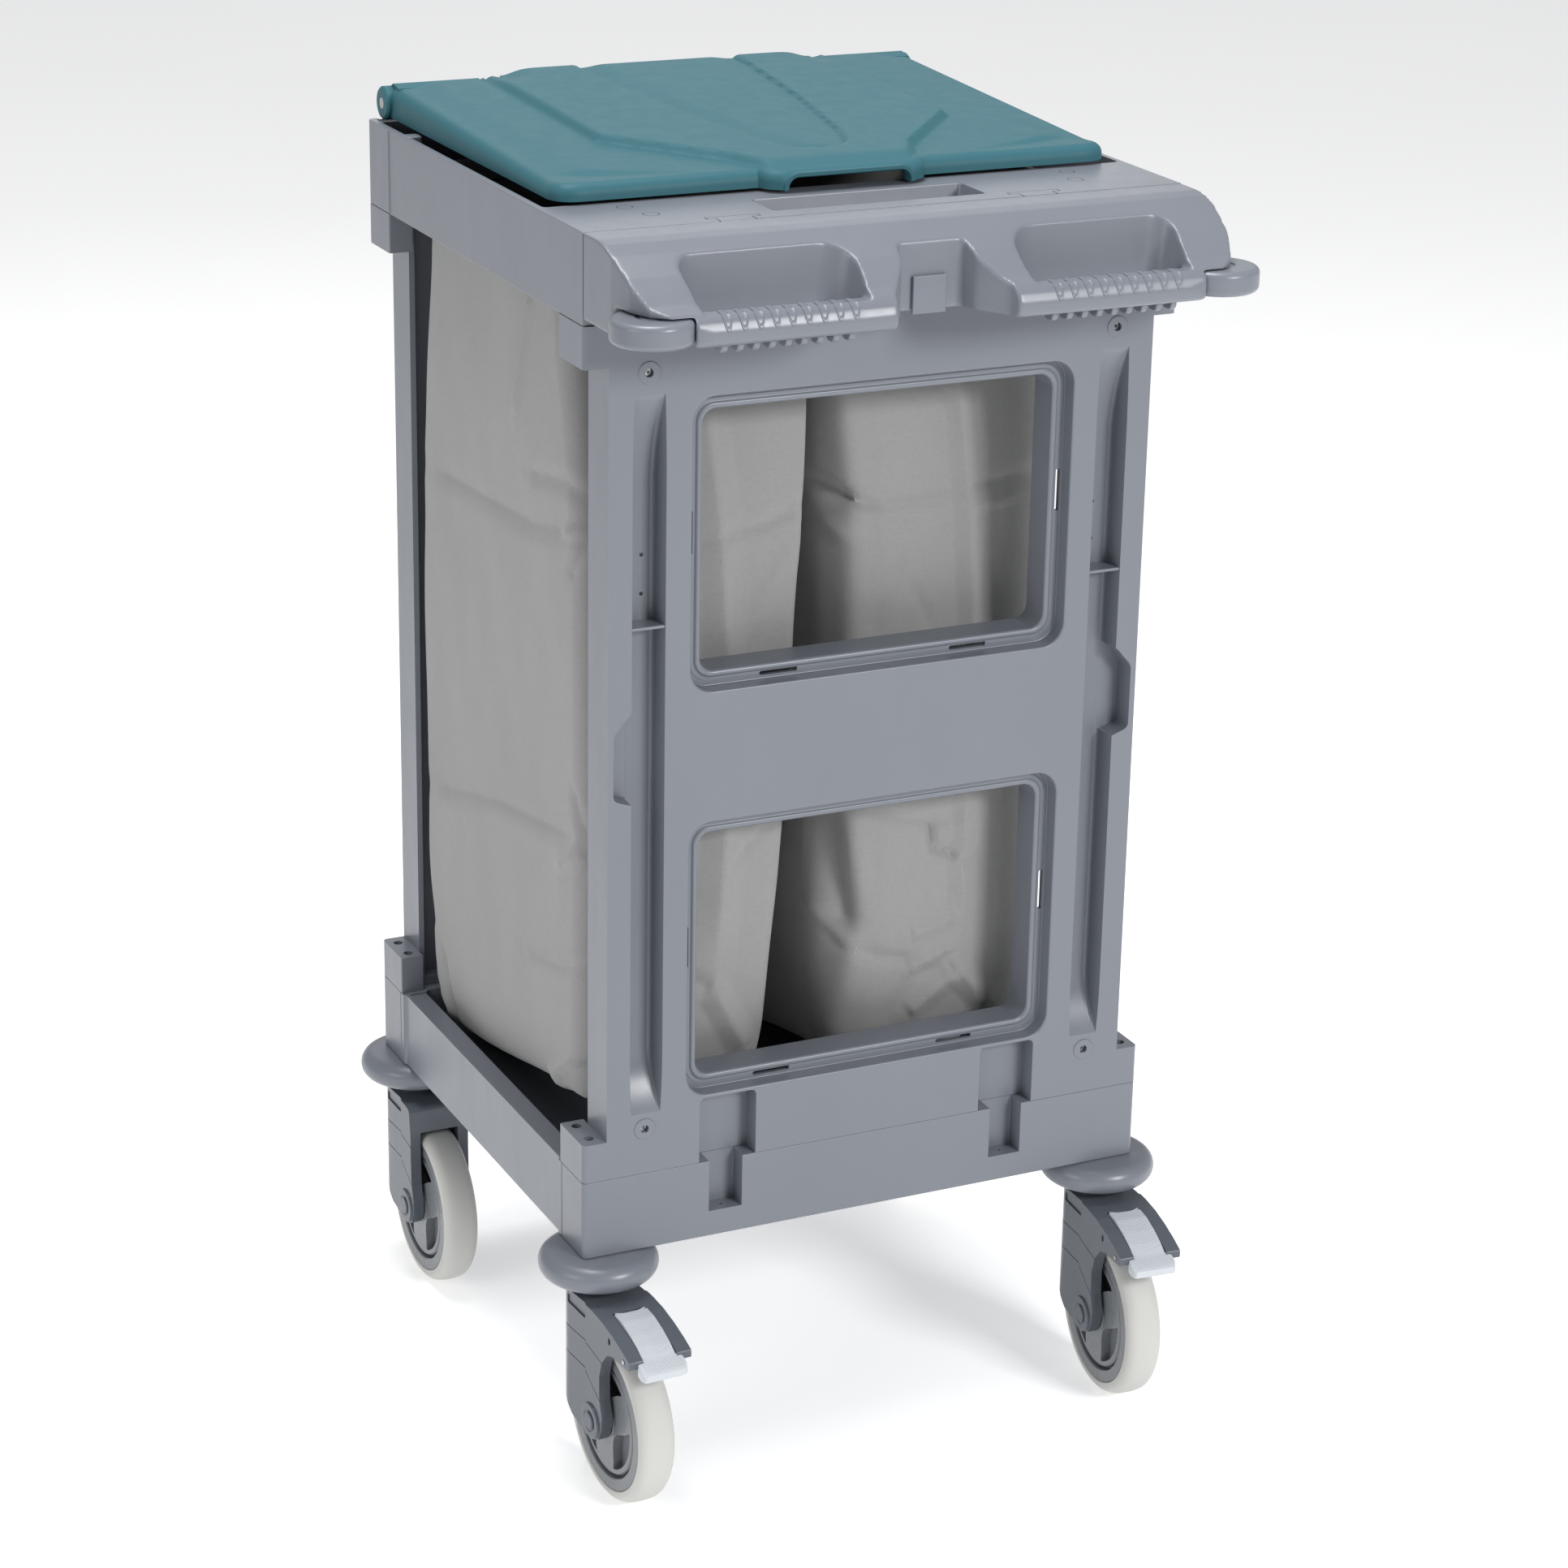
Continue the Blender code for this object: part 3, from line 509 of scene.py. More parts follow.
def window_cutter(z0, z1):
    """The stepped opening of a window: a round edge, a wall, a ledge with a fine step and a raised lip."""
    edge = 0.0017
    turns = [radians(a) for a in (0, 22.5, 45, 67.5, 90)]
    rows = [(-0.006, -edge)] + [(edge * (1 - cos(a)), edge * (sin(a) - 1)) for a in turns]
    rows += pts("""
        12.6 0.3  13.5 0.6  14 1.4  14 4.6  13.5 4.8  13.5 7.2  13.1 8  12.2 8.7  11.7 9.6  11.6 10.7""")
    rows += [(0.0119, 0.0119), (0.0127, 0.0129), (0.014, 0.0135), (PANEL_DEEP + 0.01, 0.014)]
    rect = (-WINDOW_X, WINDOW_X, z0, z1)
    return lofted_box("Y", rect, WINDOW_R, [(FACE + d, i, i * 0.6) for d, i in rows], 10)


def slot_cutter(x, z, long_x, long_z, round_end):
    """A narrow slot through the ledge, with one round end."""
    end = 0.0019
    radii = {"left": (end, 0.0003, 0.0003, end), "top": (0.0003, 0.0003, end, end)}[round_end]
    return slab("Y", FACE, FACE + 0.03, x - long_x / 2, x + long_x / 2, z - long_z / 2, z + long_z / 2, radii, 6)


def channel_depth(z):
    low, high = CHANNEL_Z
    t = min(1.0, (z - low) / CHANNEL_RAMPS[0], (high - z) / CHANNEL_RAMPS[1])
    return CHANNEL_DEEP * (1 - (1 - t) ** 2) - 0.0001


def channel_cutter(side):
    """The groove down a column: drafted walls, a round-cornered floor, and a curved run-out at both ends."""
    low, high = CHANNEL_Z
    heights = [low + CHANNEL_RAMPS[0] * (i / 12) for i in range(13)]
    heights += [high - CHANNEL_RAMPS[1] * (1 - i / 14) for i in range(15)]
    rings = []
    for z in heights:
        depth = channel_depth(z)
        spread = max(depth, 0) * math.tan(radians(4))
        bend = min(0.0035, max(depth, 0.0001) * 0.45)
        half = [(CHANNEL_FLOOR + spread, -0.004), (CHANNEL_FLOOR + spread, 0.0)]
        half += arc((CHANNEL_FLOOR - bend, depth - bend), bend, 0, 90, 5)
        section = half + [(-u, d) for u, d in reversed(half)]
        rings.append([(side * CHANNEL_MIDDLE + u, FACE + d, z) for u, d in section])
    groove = loft(rings)
    outer, inner = 0.237, 0.2215
    corners = [(0.205, 0.611), (inner, 0.611), (outer, 0.6165), (outer, 0.672), (inner, 0.69), (0.205, 0.69)]
    outline = fillet(corners, [0, 0.006, 0.006, 0.009, 0.009, 0], 6)
    pocket_floor = FACE + CHANNEL_DEEP - 0.0004
    wide = prism([(side * x, z) for x, z in outline], "Y", FACE - 0.004, pocket_floor)
    return unite(groove, wide)


def panel_notch(side):
    """A recess in the foot of the panel, open at its bottom, with a deeper strip along its inner wall."""
    rect = span(side, 0.106, 0.158)
    radii = (0.0003, 0.0003, 0.005, 0.005)
    shallow = slab("Y", FACE - 0.01, FACE + 0.0185, *rect, 0.275, 0.341, radii, 6)
    strip = span(side, 0.1062, 0.1125)
    deep = slab("Y", FACE, FACE + 0.0235, *strip, 0.275, 0.3405, radii, 6)
    return [shallow, deep]


def back_hollows():
    """What is cut away behind the panel's skin, leaving walls round windows, notches and grooves."""
    inner, past = PANEL_X - 0.056, FACE + PANEL_DEEP + 0.01
    low, high, deep = PANEL_LOW + 0.008, PANEL_HIGH - 0.005, FACE + STEP_DEEP + 0.004
    hollow = slab("Y", deep, past, -inner, inner, low, high, 0.004)
    walls = []
    for z0, z1 in WINDOWS:
        x, gap = WINDOW_X - LEDGE_WIDE + 0.005, LEDGE_WIDE - 0.005
        walls.append(slab("Y", deep - 0.01, past + 0.01, -x, x, z0 + gap, z1 - gap, 0.015))
    for side in (-1, 1):
        rect = span(side, 0.1, 0.164)
        walls.append(slab("Y", FACE, FACE + 0.027, *rect, 0.27, 0.345, 0.003))
    cuts = [cut(hollow, *walls)]
    for x, z0, z1 in ((inner, 0.951, high), (inner, 0.5905, 0.691), (0.095, low, 0.336)):
        cuts.append(slab("Y", FACE + 0.0045, deep + 0.001, -x + 0.0002, x - 0.0002, z0, z1, 0.003))
    for side in (-1, 1):
        rect = span(side, 0.1905, 0.237)
        cuts.append(slab("Y", FACE + 0.026, past, *rect, low, high, 0.004))
    return cuts


def make_panel():
    back = FACE + PANEL_DEEP
    panel = slab("Z", PANEL_LOW, PANEL_HIGH, -HALF_X, HALF_X, FACE, -BLOCK_Y, (0.0045, 0.0045, 0.001, 0.001))
    bosses = []
    cuts = [slab("Z", 0.2, 1.1, -PANEL_X, PANEL_X, back, 0.0, 0.0001, 1)]
    for side in (-1, 1):
        beside = fillet([(PANEL_X, -0.3), (0.3, -0.3), (0.3, -0.1), (PANEL_X, -0.1)], 0)
        cuts.append(prism([(side * x, y) for x, y in beside], "Z", BLOCK_LOW, BLOCK_HIGH))
        for y in (0.2025, 0.229):
            hole = (side * (PANEL_X + HALF_X) / 2, -y, 0)
            cuts.append(rod(hole, 0.0043, BLOCK_LOW - 0.008, BLOCK_LOW + 0.01))
        for z in SCREW_Z:
            bosses.append(rod((side * SCREW_X, 0, z), 0.0094, FACE - 0.0008, FACE + 0.004, "Y", 0.0005))
    panel = unite(cut(panel, *cuts), *bosses)
    cuts = []
    for z0, z1 in WINDOWS:
        cuts.append(window_cutter(z0, z1))
        for side in (-1, 1):
            cuts.append(slot_cutter(side * 0.0865, z0 + 0.005, 0.034, 0.0038, "left"))
            cuts.append(slot_cutter(side * (WINDOW_X - 0.0042), (z0 + z1) / 2 + 0.009, 0.0038, 0.036, "top"))
    for side in (-1, 1):
        cuts.append(channel_cutter(side))
        cuts += panel_notch(side)
        for z in SCREW_Z:
            cuts.append(rod((side * SCREW_X, 0, z), 0.0036, FACE - 0.01, back + 0.01, "Y", sides=32))
        for z in (0.8137, 0.7813):
            cuts.append(rod((side * 0.2045, 0, z), 0.0017, FACE, FACE + 0.03, "Y"))
    panel = cut(panel, *back_hollows())
    panel = cut(panel, *cuts)
    ribs = []
    for side in (-1, 1):
        rect = span(side, 0.192, 0.2222)
        ribs.append(block("Z", (*rect, FACE + 0.001, FACE + 0.024), 0.0004, 0.7574, 0.7599, 0.0006))
    return eased(unite(panel, *ribs), 0.001, 3, 38)


front_panel = make_panel()
panel_mesh = front_panel.data.copy()
bpy.data.objects.remove(front_panel, do_unlink=True)
for end, turn in (("front", 0.0), ("rear", math.pi)):
    panel = linked(bpy.data.objects.new("piece", panel_mesh.copy()))
    panel.data.transform(Matrix.Rotation(turn, 4, "Z"))
    place(panel, f"{end}_window_panel", f"{end}_panel")


def make_screw():
    """A socket screw, its head sunk in the boss."""
    head = FACE + 0.003
    shank = rod((0, 0, 0), 0.0024, head + 0.002, FACE + 0.0385, "Y", 0.0003, 24)
    cap = rod((0, 0, 0), 0.0033, head, head + 0.004, "Y", 0.0004, 32)
    socket = prism(arc((0, 0), 0.0017, 0, 300, 5), "Y", head - 0.002, head + 0.0025)
    return cut(unite(shank, cap), socket)


for end, end_name in ((-1, "front"), (1, "rear")):
    for side, side_name in SIDES:
        for z, height in zip(SCREW_Z, ("lower", "upper")):
            screw = move(make_screw(), side * SCREW_X, 0, z)
            if end > 0:
                other_side = Matrix.Translation((-2 * side * SCREW_X, 0, 0))
                screw.data.transform(Matrix.Rotation(math.pi, 4, "Z") @ other_side)
            at = f"{end_name}_{side_name}_{height}"
            place(screw, f"socket_screw_{at}", f"panel_screw_{at}", slot="steel")


# ---------------------------------------------------------------- base platform and top tray

DECK_Z, RAIL_INNER = 0.246, 0.241


def make_base():
    base = block("Z", (-HALF_X, HALF_X, -HALF_Y, HALF_Y), 0.0045, BASE_LOW, BASE_TOP, 0.001, 8)
    past = BASE_TOP + 0.01
    cuts = [slab("Z", DECK_Z, past, -RAIL_INNER, RAIL_INNER, 0.001 - BLOCK_Y, BLOCK_Y - 0.001, 0.006)]
    under = DECK_Z - 0.006
    for x, y in ((0.255, 0.14), (0.15, 0.214)):
        cuts.append(slab("Z", 0.2, under, -x, x, -y, y, 0.01))
    for side in (-1, 1):
        waist = fillet(pts("260.8 -188.5  280 -188.5  280 188.5  260.8 188.5"), [0.004, 0, 0, 0.004])
        cuts.append(prism([(side * x, y) for x, y in waist], "Z", BASE_LOW - 0.01, past))
        rim = span(side, (RAIL_INNER - 0.01), 0.2572)
        cuts.append(slab("Z", BASE_TOP - 0.0016, past, *rim, -0.187, 0.187, 0.003))
        for end in (-1, 1):
            bead = (side * HALF_X, end * 0.1955, 0)
            cuts.append(rod(bead, 0.0009, BASE_LOW - 0.01, BASE_TOP + 0.01, "Z", 0.0002, 12))
            xs, ys = span(side, 0.118, 0.1485), span(end, (HALF_Y - 0.0185), (HALF_Y + 0.01))
            cuts.append(slab("Z", 0.2355, past, *xs, *ys, 0.0008))
            hole = (side * 0.1335, end * (HALF_Y - 0.01), 0)
            cuts.append(rod(hole, 0.0016, 0.225, 0.25))
            stem = (side * SWIVEL_X, end * SWIVEL_Y, 0)
            cuts.append(rod(stem, STEM_BORE, 0.2, 0.2375))
    return eased(cut(base, *cuts), 0.0009, 2, 38)


def groove_line(points, width, depth, top):
    """A fine groove along a run of points on a flat top."""
    low, high = top - depth, top + 0.01
    strips = []
    for (x0, y0), (x1, y1) in zip(points, points[1:]):
        x0, x1 = sorted((x0, x1))
        y0, y1 = sorted((y0, y1))
        half = width / 2
        strips.append(slab("Z", low, high, x0 - half, x1 + half, y0 - half, y1 + half, 0.0001, 1))
    return strips


def make_tray():
    rect = (-HALF_X, HALF_X, TRAY_FRONT, HALF_Y)
    tray = block("Z", rect, (0.0006, 0.0006, 0.005, 0.005), TRAY_LOW, TRAY_TOP, 0.001)
    wall, ledge, back = HALF_X - 0.0055, 1.0353, DECK_BACK
    cuts = [slab("Z", ledge, 1.1, -wall, wall, back, HALF_Y - 0.006, 0.004)]
    for x0, x1 in ((-0.2415, -0.0145), (-0.0055, 0.2415)):
        cuts.append(slab("Z", 0.99, 1.1, x0, x1, -0.1412, 0.168, 0.006))
    front, deck_wall = TRAY_FRONT + 0.005, back - 0.005
    cuts.append(slab("Z", 0.99, 1.061, -wall, wall, front, deck_wall, 0.003))
    for side in (-1, 1):
        xs = span(side, 0.098, wall)
        cuts.append(slab("Z", 1.055, 1.0765, *xs, front + 0.0005, deck_wall - 0.0005, 0.003))
    pocket_rows = [(1.066, 0.003, 0.0), (1.067, 0.0022, 0.0), (TRAY_TOP - 0.001, 0.0006, 0.0)]
    pocket_rows += [(TRAY_TOP, 0.0, 0.0), (1.09, -0.0004, 0.0)]
    cuts.append(lofted_box("Z", (-0.094, 0.094, -0.221, -0.176), 0.004, pocket_rows))
    cuts.append(slab("Z", 0.99, 1.03, -0.2325, 0.2325, 0.169, 0.2385, 0.003))
    tray = cut(tray, *cuts)
    lugs, holes = [], []
    for side in (-1, 1):
        xs = span(side, 0.15, 0.162)
        lug = fillet(pts("224.5 1030  242.4 1030  242.4 1095  224.5 1095"), [0, 0, 0.001, 0.001])
        lugs.append(prism(lug, "X", *xs))
        lugs.append(rod(HINGE, 0.0108, *xs, "X", 0.0006, 40))
        holes.append(rod(HINGE, PIN_BORE, xs[0] - 0.01, xs[1] + 0.01, "X"))
        holes.append(rod(HINGE, 0.017, *span(side, 0.2235, 0.2545), "X", sides=48))
        bead = (side * (HALF_X - 0.0002), 0.19, 0)
        lugs.append(rod(bead, 0.0011, TRAY_LOW + 0.0006, TRAY_TOP - 0.0006, "Z", 0.0003, 16))
        shelf = span(side, 0.2465, (HALF_X - 0.002))
        lugs.append(block("Z", (*shelf, 0.15, 0.164), 0.003, 1.06, 1.0815, 0.0015))
    tray = cut(unite(tray, *lugs), *holes)
    tray = eased(tray, 0.0008, 2, 38)
    lines = []
    for side in (-1, 1):
        key = [(0.1175, TRAY_FRONT), (0.1175, -0.232), (0.11, -0.232), (0.11, -0.2255), (0.155, -0.2255)]
        key += [(0.155, -0.232), (0.148, -0.232), (0.148, TRAY_FRONT)]
        lines += groove_line([(side * x, y) for x, y in key], 0.001, 0.0009, TRAY_TOP)
        for x, y in ((0.197, -0.167), (0.188, -0.198)):
            floor = TRAY_TOP - 0.0008
            ring = turned([(0.006, floor), (0.0068, floor), (0.0068, 1.09), (0.006, 1.09)], 32)
            lines.append(move(ring, side * x, y))
    return cut(tray, *lines)


place(make_base(), "base", "base_platform")
place(make_tray(), "tray", "top_tray")


# ---------------------------------------------------------------- push handle and its rollers

GRIP_X, BAR_BACK, BAR_TOP = (0.0715, 0.2105), -0.3345, 1.037
ROLLER, ROLLER_R, ROLLER_H, ROLLER_CEILING = Vector((0.245, -0.333, 1.015)), 0.033, 0.02, 1.0358
RIB_PITCH, RIBS = 0.0133, 9


def softened(obj, voxel, rounds, keep=0.35):
    """Remeshes a solid to an even skin and relaxes it, which rounds all its edges, then thins it out."""
    remesh = obj.modifiers.new("skin", "REMESH")
    remesh.mode, remesh.voxel_size = "VOXEL", voxel
    relax = obj.modifiers.new("relax", "SMOOTH")
    relax.factor, relax.iterations = 0.5, rounds
    thin = obj.modifiers.new("thin", "DECIMATE")
    thin.ratio = keep
    return evaluated(obj)


def grip_recess(side):
    """The scoop behind a grip bar: its back corners are wide curves and its walls lean outwards."""
    near, far = GRIP_X
    rings = []
    for z, lean, back in ((0.99, -0.002, -0.3015), (1.025, -0.001, -0.301), (BAR_TOP, 0.0, -0.3),
                          (1.06, 0.003, -0.2985), (1.085, 0.006, -0.2965)):
        corners = [(near - lean, -0.42), (far + lean, -0.42), (far + lean, back), (near - lean, back)]
        outline = fillet(corners, [0, 0, 0.016, 0.026], 8)
        rings.append([(side * x, y, z) for x, y in outline])
    scoop = loft(rings)
    bar = slab("X", -0.3, 0.3, -0.5, BAR_BACK, 0.9, BAR_TOP, 0.007)
    return cut(scoop, bar)


BAR_PATH = pts("""
    -338.5 1037.2  -344 1037.2  -349.5 1036.8  -353 1035.2  -356.5 1032.2  -358.8 1028.5  -359.8 1024.5""")


def grip_oval(skin, x):
    """A raised oval outline that wraps over the top of a grip bar, found on the bar's own skin."""
    rings = []
    sizes, lifts = (1.0, 1.0, 0.95, 0.84, 0.74, 0.66, 0.2), (-9, 3, 7, 8, 5, 1, 1)
    for size, lift in zip(sizes, lifts):
        ring = []
        for a in np.linspace(0, tau, 29)[:-1]:
            run = 3.0 + 3.0 * size * sin(a)
            first = min(int(run), 5)
            here, after = Vector((0, *BAR_PATH[first])), Vector((0, *BAR_PATH[first + 1]))
            at = here.lerp(after, run - first) + Vector((x + 0.0037 * size * cos(a), 0, 0))
            out = Vector((0, after.z - here.z, here.y - after.y)).normalized()
            hit = skin.ray_cast(at + out * 0.01, -out, 0.03)[0] or at
            ring.append(hit + out * (lift * 0.0001))
        rings.append(ring)
    return loft(rings)


def make_handle():
    profile = [(HANDLE_BACK, HANDLE_LOW), (HANDLE_BACK, TRAY_TOP), (-0.266, TRAY_TOP), (-0.28, 1.0788)]
    profile += pts("-295 1073.3  -317 1061.2  -330 1051.2  -340 1043.2  -350 1038.8")
    profile += [(-0.357, 1.033), (HANDLE_NOSE, 1.025), (-0.3592, 1.017), (-0.3555, HANDLE_LOW)]
    handle = prism(profile, "X", -HALF_X, HALF_X)
    half = [(HALF_X, -0.2), (HALF_X, HANDLE_BACK), (0.2625, -0.295), (0.259, -0.323), (0.251, -0.342)]
    half += pts("239 -352.5  222 -358  205 -360.1")
    handle = common(handle, prism(mirrored_x(half), "Z", 1.0, 1.1))
    spread = fillet(pts("0 -305  28.5 -305  32 -322  50 -348  56 -380"),
                    [0, 0.004, 0.02, 0.02, 0], 5, closed=False)
    cuts = [prism(mirrored_x(spread), "Z", 1.0, 1.1)]
    cuts.append(slab("Z", 1.0, 1.066, -0.2065, 0.2065, -0.2965, HANDLE_BACK - 0.004, 0.004))
    for side in (-1, 1):
        cuts.append(grip_recess(side))
        cuts.append(rod((side * ROLLER.x, ROLLER.y, 0), ROLLER_R + 0.001, 1.0, ROLLER_CEILING, sides=64))
        corner = span(side, ROLLER.x, 0.3)
        cuts.append(slab("Z", 1.0, ROLLER_CEILING, *corner, -0.4, -0.299, 0.0002))
    handle = softened(cut(handle, *cuts), 0.0016, 4)
    skin = BVHTree.FromPolygons([v.co for v in handle.data.vertices], [p.vertices for p in handle.data.polygons])
    ribs = [handle]
    middle_x = sum(GRIP_X) / 2
    for side in (-1, 1):
        for i in range(RIBS):
            x = side * middle_x + (i - (RIBS - 1) / 2) * RIB_PITCH
            tooth = (-0.3525, -0.3365, HANDLE_LOW - 0.0068, HANDLE_LOW + 0.006)
            ribs.append(block("X", tooth, (0.0058, 0.0068, 0.001, 0.001), x - 0.0027, x + 0.0027, 0.0012))
            ribs.append(grip_oval(skin, x))
    return merge(*ribs)


def make_clip():
    """The square plate in the notch, left plain."""
    return block("Y", (-0.0145, 0.0145, 1.011, 1.041), 0.0008, -0.3085, -0.3053, 0.0008)


def make_roller():
    high, edge, bore = ROLLER_H, 0.005, 0.0043
    profile = [(bore, 0.0), *arc((ROLLER_R - edge, edge), edge, -90, 0, 6)]
    profile += [*arc((ROLLER_R - edge, high - edge), edge, 0, 90, 6), (0.0135, high), (0.013, high - 0.0008)]
    profile += [(0.0095, high - 0.0008), (0.009, high), (bore, high)]
    return turned(profile, 64)


def make_roller_pin():
    top, low = ROLLER_CEILING - 0.0003, ROLLER.z - 0.0003
    return turned([(0, low - 0.0035), (0.0065, low - 0.0035), (0.008, low - 0.0022), (0.008, low),
                          (0.004, low), (0.004, top), (0, top)], 32, closed=False)


place(make_handle(), "push_handle", "handle_moulding", smooth=60)
place(make_clip(), "clip", "handle_clip")
for side, side_name in SIDES:
    roller = move(make_roller(), side * ROLLER.x, ROLLER.y, ROLLER.z)
    place(roller, f"corner_roller_{side_name}", f"bumper_roller_{side_name}", f"roller_{side_name}")
    pin = move(make_roller_pin(), side * ROLLER.x, ROLLER.y)
    place(pin, f"roller_pivot_{side_name}", f"roller_pin_{side_name}", slot="steel")


# ---------------------------------------------------------------- lid

LID_X, LID_FRONT, LID_LOW, LID_BACK = 0.248, -0.15, 1.083, 0.224
BARREL_R, BARREL_X = 0.0132, 0.2527
TAB_X, TAB_OUT = 0.064, 0.015


def ramp(value, low, high):
    """0 below low, 1 above high, and a smooth rise between them."""
    t = min(max((value - low) / (high - low), 0.0), 1.0)
    return t * t * (3 - 2 * t)


def side_line(points, y):
    """|X| of a run of (y, x) points at a given y."""
    return float(np.interp(y, [p[0] for p in points], [p[1] for p in points]))


CENTRE_EDGE = pts("-170 62  -142 66  -110 82  -20 160  230 162")
TONGUE_EDGE = pts("-112 0  -107.5 18  -98 29  -60 40  60 61  200 76")


def lid_height(x, y):
    """The top of the lid: a gentle rise to the hinge, a raised middle, a sunk tongue and soft valleys."""
    x = abs(x)
    z = 1.0975 + (y - LID_FRONT) * 0.0415
    z += 0.0062 * ramp(side_line(CENTRE_EDGE, y) - x, -0.0052, 0.0048) * ramp(y, -0.166, -0.134)
    tongue = side_line(TONGUE_EDGE, y) - x if y > -0.112 else -0.02
    z -= 0.003 * ramp(tongue, -0.0018, 0.002)
    z += 0.0022 * ramp(tongue, 0.004, 0.026)
    bank = 0.214 - 0.1 * ramp(y, -0.1, -0.15)
    z -= 0.003 * ramp(x - bank, -0.012, 0.022) * ramp(y, -0.15, -0.11)
    z -= 0.0052 * math.exp(-(((x - 0.148) / 0.015) ** 2)) * ramp(y, 0.17, 0.222)
    return z


def lid_solid(inset, lower, low, edge=0.0095, bend=0.011, columns=160, rows=124):
    """A closed lid shape: its top follows lid_height and its rim turns down with a round to z = low.
    The front swells out in the middle into the lifting tab."""
    form = bmesh.new()
    half, front = LID_X - inset - edge, LID_FRONT + inset + edge
    grid = []
    for y in np.linspace(front, LID_BACK, rows):
        row = []
        for x in np.linspace(-half, half, columns):
            px, py = x, y
            u, v = (abs(x) - half + bend) / bend, (front + bend - y) / bend
            if u > 0 and v > 0:
                reach = max(u, v) / math.hypot(u, v)
                px, py = math.copysign(half - bend + u * reach * bend, x), front + bend - v * reach * bend
            near = 1 - ramp(y, front, front + 0.045)
            py -= TAB_OUT * near * (1 - ramp(abs(x), TAB_X - 0.005, TAB_X + 0.006))
            row.append(form.verts.new((px, py, lid_height(px, py) - lower)))
        grid.append(row)
    for a, b in zip(grid, grid[1:]):
        for i in range(columns - 1):
            form.faces.new((a[i], a[i + 1], b[i + 1], b[i]))
    border = [row[0] for row in reversed(grid)] + grid[0][1:] + [row[-1] for row in grid[1:]]
    last = border
    for turn in (15, 30, 45, 60, 75, 90, None):
        ring = []
        for i, vert in enumerate(border):
            along = (border[min(i + 1, len(border) - 1)].co - border[max(i - 1, 0)].co).to_2d().normalized()
            spread = edge * sin(radians(90 if turn is None else turn))
            drop = edge * (1 - cos(radians(90 if turn is None else turn)))
            z = low if turn is None else vert.co.z - drop
            y = min(vert.co.y - along.x * spread, LID_BACK)
            ring.append(form.verts.new((vert.co.x + along.y * spread, y, z)))
        for i in range(len(border) - 1):
            form.faces.new((last[i], ring[i], ring[i + 1], last[i + 1]))
        last = ring
    bmesh.ops.holes_fill(form, edges=[e for e in form.edges if e.is_boundary])
    bmesh.ops.triangulate(form, faces=form.faces)
    bmesh.ops.recalc_face_normals(form, faces=form.faces)
    return new_piece(form)


def tab_arch(grow, rise):
    """(X, Z) outline of the finger opening under the tab."""
    half = 0.0535 + grow
    return round_rectangle(-half, half, 1.05, 1.0925 + rise, (0.0002, 0.0002, 0.008 + grow, 0.008 + grow), 8)


def make_lid():
    hollow = lid_solid(0.0042, 0.0042, 1.07, 0.006, 0.007, 90, 70)
    tray_side = slab("Z", 1.0, 1.2, -0.3, 0.3, -0.2, 0.2195, 0.01)
    hollow = common(hollow, tray_side)
    for x in (-0.16, -0.08, 0.08, 0.16):
        hollow = cut(hollow, slab("Z", 1.086, 1.2, x - 0.001, x + 0.001, -0.31, 0.31, 0.0002))
    for y in (-0.06, 0.04, 0.14):
        hollow = cut(hollow, slab("Z", 1.0864, 1.21, -0.32, 0.32, y - 0.001, y + 0.001, 0.0002))
    lid = cut(lid_solid(0.0, 0.0, LID_LOW + 0.0008), hollow)
    barrel = rod(HINGE, BARREL_R, -BARREL_X, BARREL_X, "X", 0.0012, 48)
    back = pts("215 1084  225 1084  238 1090  237 1108  229 1112.5  215 1110")
    back = fillet(back, [0, 0.002, 0.002, 0.004, 0.004, 0], 4)
    backs = [prism(back, "X", *span(side, 0.166, (LID_X - 0.004))) for side in (-1, 1)]
    backs.append(prism(back, "X", -0.13, 0.13))
    front = LID_FRONT - TAB_OUT
    arch_bead = cut(prism(tab_arch(0.0052, 0.0044), "Y", front - 0.0012, front + 0.01),
                    slab("Y", -0.2, -0.1, -0.1, 0.1, 1.0, LID_LOW, 0.001))
    knuckles = []
    for side in (-1, 1):
        xs = span(side, 0.2255, (BARREL_X - 0.0002))
        knuckles.append(rod(HINGE, BARREL_R + 0.0012, *xs, "X", 0.0016, 46))
    lid = unite(lid, unite(barrel, *knuckles), *backs, eased(arch_bead, 0.001, 2, 38))
    room = [(0.0012, -0.19), (0.0012, front - 0.001), (0, front + 0.001), (0, -0.148)]
    cuts, gaps = [loft([[(x, y, z) for x, z in tab_arch(grow, grow)] for grow, y in room])], []
    for side in (-1, 1):
        gap = span(side, 0.1485, 0.1635)
        gaps.append(slab("Z", 1.0, 1.2, *gap, 0.2175, 0.26, 0.0004))
        cuts.append(rod(HINGE, PIN_BORE, *span(side, 0.13, 0.26), "X"))
    for tool in gaps + cuts:
        lid = cleaned(cut(lid, tool))
    return lid


place(make_lid(), "lid_moulding", "lid", "lid", "lid_plastic", 32)


# ---------------------------------------------------------------- casters

TRAIL, WHEEL_Z = 0.0455, 0.075
FORK_X, FORK_INNER, BARREL_IN = 0.0285, 0.0185, 0.0273
PEDAL_PIN = Vector((0, -0.107, 0.1595))
# Side, end and heading of each caster
CASTERS = {
    "front_left": (-1, -1, 0.05), "front_right": (1, -1, -0.087),
    "rear_left": (-1, 1, 0.007), "rear_right": (1, 1, 0.007),
}
ACROSS = (-0.04, 0.04)  # right through a caster along X


